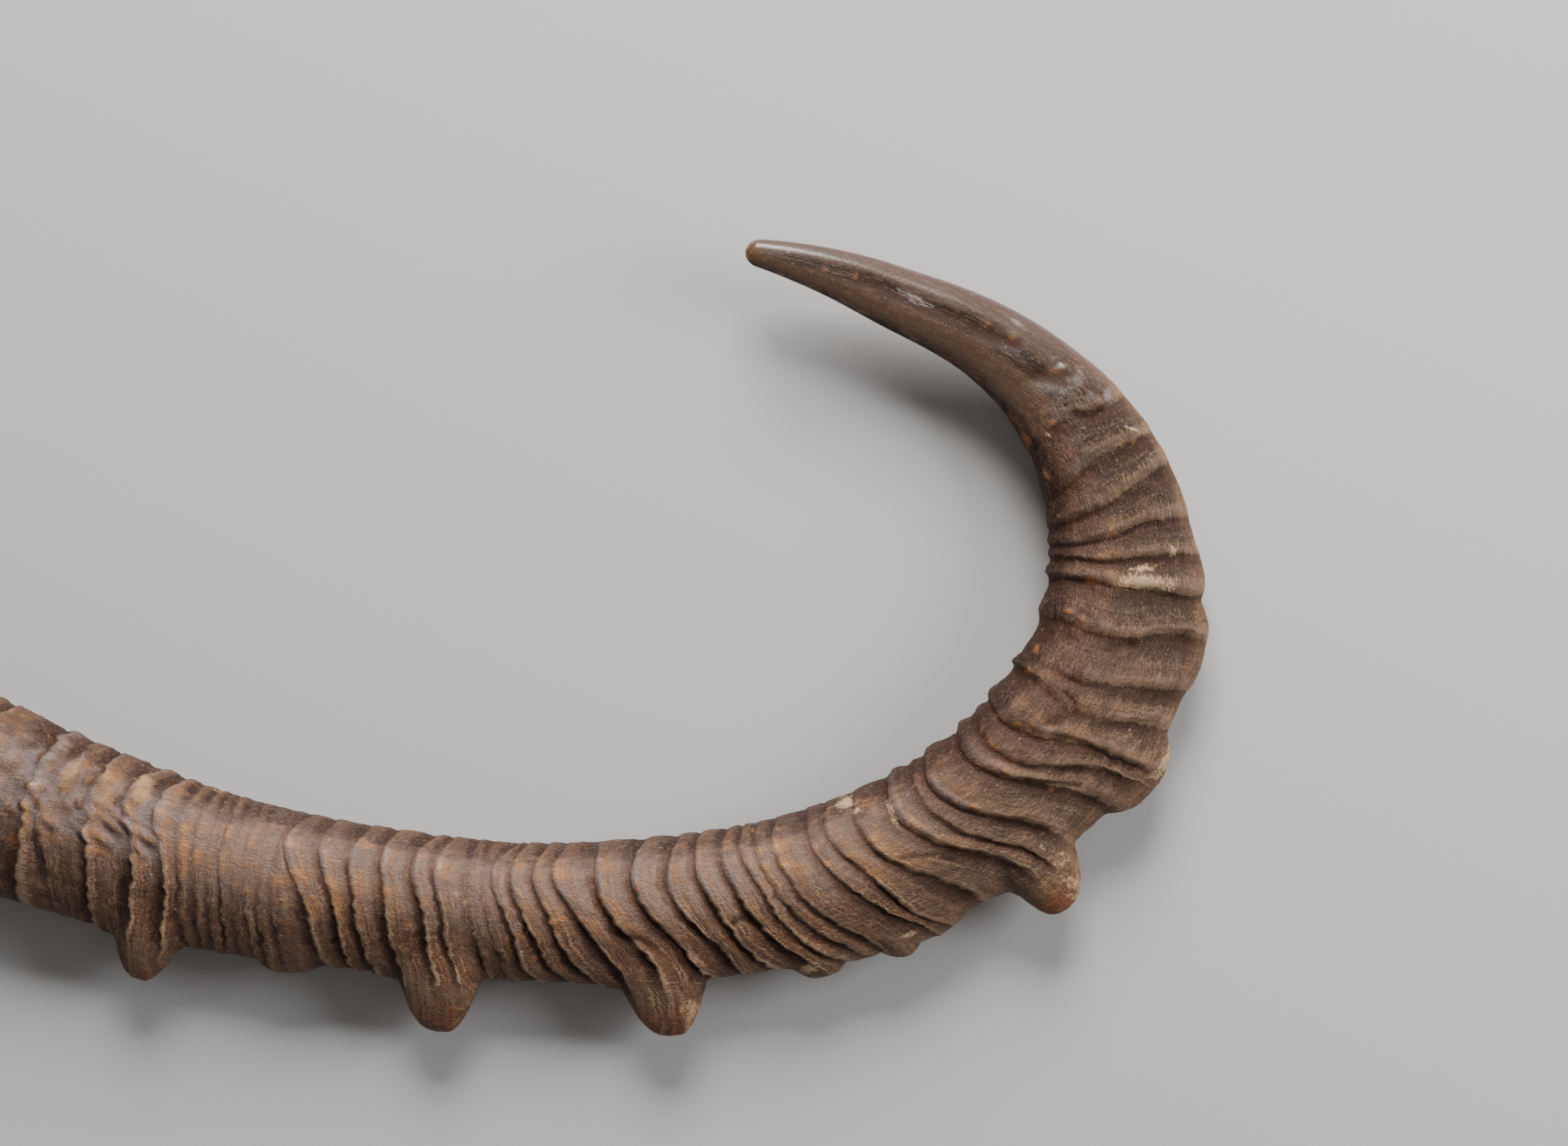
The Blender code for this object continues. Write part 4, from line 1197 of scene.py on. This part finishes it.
    # the shine patches: a painted glint, with real polish in the roughness and the coat
    polishAndGlint = ramp(shine + fibres * 4.0 + speckled * 2.0, 0.6, 1.1)
    colour = paint(polishAndGlint * 0.8, "paintedSheen")
    darkInside = ramp(fibres + mottled, -0.25, 0.25)
    inside = blendColour(darkInside, screenColour("cavity"), screenColour("cavityDark"))
    inside = blendColour(ramp(lines + speckled * 0.5, 0.02, 0.15) * 0.5, inside, screenColour("dusk"))
    colour = blendColour(1.0 - outer, colour, inside)
    tree.links.new(colour.socket, shader.inputs["Base Color"])
    shader.inputs["Specular IOR Level"].default_value = hornFinish["specular"]

    onBead = ramp(keelShare + mottled * 0.15, 0.66, 0.76) * inTip
    added = {
        "curl": inCurl,
        "tip": inTip,
        "bead": onBead,
        "mottled": mottled,
        "grooves": inGroove,
        "cavity": 1.0 - outer,
        "backEdge": backEdge,
        "lips": softLip,
        "valley": tipValleyShade,
        "shine": polishAndGlint,
    }
    roughness = hornFinish["roughness"]["shaft"]
    for name, amount in added.items():
        roughness = roughness + hornFinish["roughness"][name] * amount
    roughness = larger(roughness, hornFinish["leastRoughness"])
    tree.links.new(roughness.socket, shader.inputs["Roughness"])
    polish = larger(onBead * ramp(speckled + fibres, -0.35, 0.05), polishAndGlint * 0.8)
    polish = larger(polish, softLip * ramp(speckled + mottled * 0.5, -0.1, 0.1) * 0.4)
    tree.links.new(polish.socket, shader.inputs["Coat Weight"])
    shader.inputs["Coat Roughness"].default_value = hornFinish["coatRoughness"]

    bump = newNode(tree, "ShaderNodeBump")
    bump.inputs["Distance"].default_value = millimetre
    high = hornFinish["heights"]
    height = fibres * high["fibres"] * along - lines * high["lines"] * across
    height = height + speckled * high["speckled"] - inGroove * high["grooves"] + mottled * high["mottled"]
    feed(tree, bump.inputs["Height"], height * (1.0 - inTip * 0.7))
    tree.links.new(bump.outputs[0], shader.inputs["Normal"])
    return material


horn = makeHorn(hornMaterial())
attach(horn, "root")
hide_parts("horn")
print("horn made")


# Floor, light and camera, in metres. The picture's right and up are directions over the floor.
studio = {
    "pictureTurn": 38.0,  # degrees from the picture's right to +X
    "pictureCentre": (0.1312, -0.1351),
    "pictureWidth": 0.558,
    "lens": 85.0,  # in millimetres, as the sensor is
    "middleHeight": 0.025,
    "sensorWidth": 36.0,
    "floorHalf": 4.0,
    "floorColour": (0.62, 0.61, 0.60, 1.0),
    "floorRoughness": 0.8,
    "skyColour": (1.0, 0.97, 0.94, 1.0),
    "skyStrength": 0.16,
    "lights": {  # each one's distance from the picture's centre to the right, up and in height; its
        # width, power and colour
        "key": (0.0, 1.5, 1.0, 0.9, 53.0, (1.0, 0.98, 0.96)),
        "rim": (1.35, 0.25, 0.75, 0.7, 17.0, (0.97, 0.98, 1.0)),
    },
}


def overFloor(rightwards, upwards):
    turn = math.radians(studio["pictureTurn"])
    right = Vector((math.cos(turn), -math.sin(turn), 0.0))
    top = Vector((math.sin(turn), math.cos(turn), 0.0))
    return right * rightwards + top * upwards


def plainMaterial(name, colour, roughness):
    material = bpy.data.materials.new(name)
    material.use_nodes = True
    shader = material.node_tree.nodes["Principled BSDF"]
    shader.inputs["Base Color"].default_value = colour
    shader.inputs["Roughness"].default_value = roughness
    return material


def makeFloor():
    half = studio["floorHalf"]
    mesh = bpy.data.meshes.new("floor")
    corners = [(-half, -half, 0), (half, -half, 0), (half, half, 0), (-half, half, 0)]
    mesh.from_pydata(corners, [], [(0, 1, 2, 3)])
    mesh.materials.append(plainMaterial("floorPale", studio["floorColour"], studio["floorRoughness"]))
    floor = bpy.data.objects.new("floor", mesh)
    bpy.context.scene.collection.objects.link(floor)


def softLight(name, rightwards, upwards, height, width, power, colour):
    centre = Vector((*studio["pictureCentre"], studio["middleHeight"]))
    data = bpy.data.lights.new(name, "AREA")
    data.shape = "SQUARE"
    data.size = width
    data.energy = power
    data.color = colour
    lamp = bpy.data.objects.new(name, data)
    lamp.location = centre + overFloor(rightwards, upwards) + Vector((0.0, 0.0, height))
    lamp.rotation_euler = (centre - lamp.location).to_track_quat("-Z", "Y").to_euler()
    bpy.context.scene.collection.objects.link(lamp)


def makeSky():
    world = bpy.data.worlds.new("sky")
    world.use_nodes = True
    background = world.node_tree.nodes["Background"]
    background.inputs["Color"].default_value = studio["skyColour"]
    background.inputs["Strength"].default_value = studio["skyStrength"]
    bpy.context.scene.world = world


def makeCamera():
    data = bpy.data.cameras.new("camera")
    data.lens = studio["lens"]
    data.sensor_width = studio["sensorWidth"]
    camera = bpy.data.objects.new("camera", data)
    away = studio["pictureWidth"] * studio["lens"] / data.sensor_width
    camera.location = (*studio["pictureCentre"], studio["middleHeight"] + away)
    camera.rotation_euler = (0.0, 0.0, -math.radians(studio["pictureTurn"]))
    bpy.context.scene.collection.objects.link(camera)
    bpy.context.scene.camera = camera


makeFloor()
for name, values in studio["lights"].items():
    softLight(name, *values)
makeSky()
makeCamera()
print("stage set")
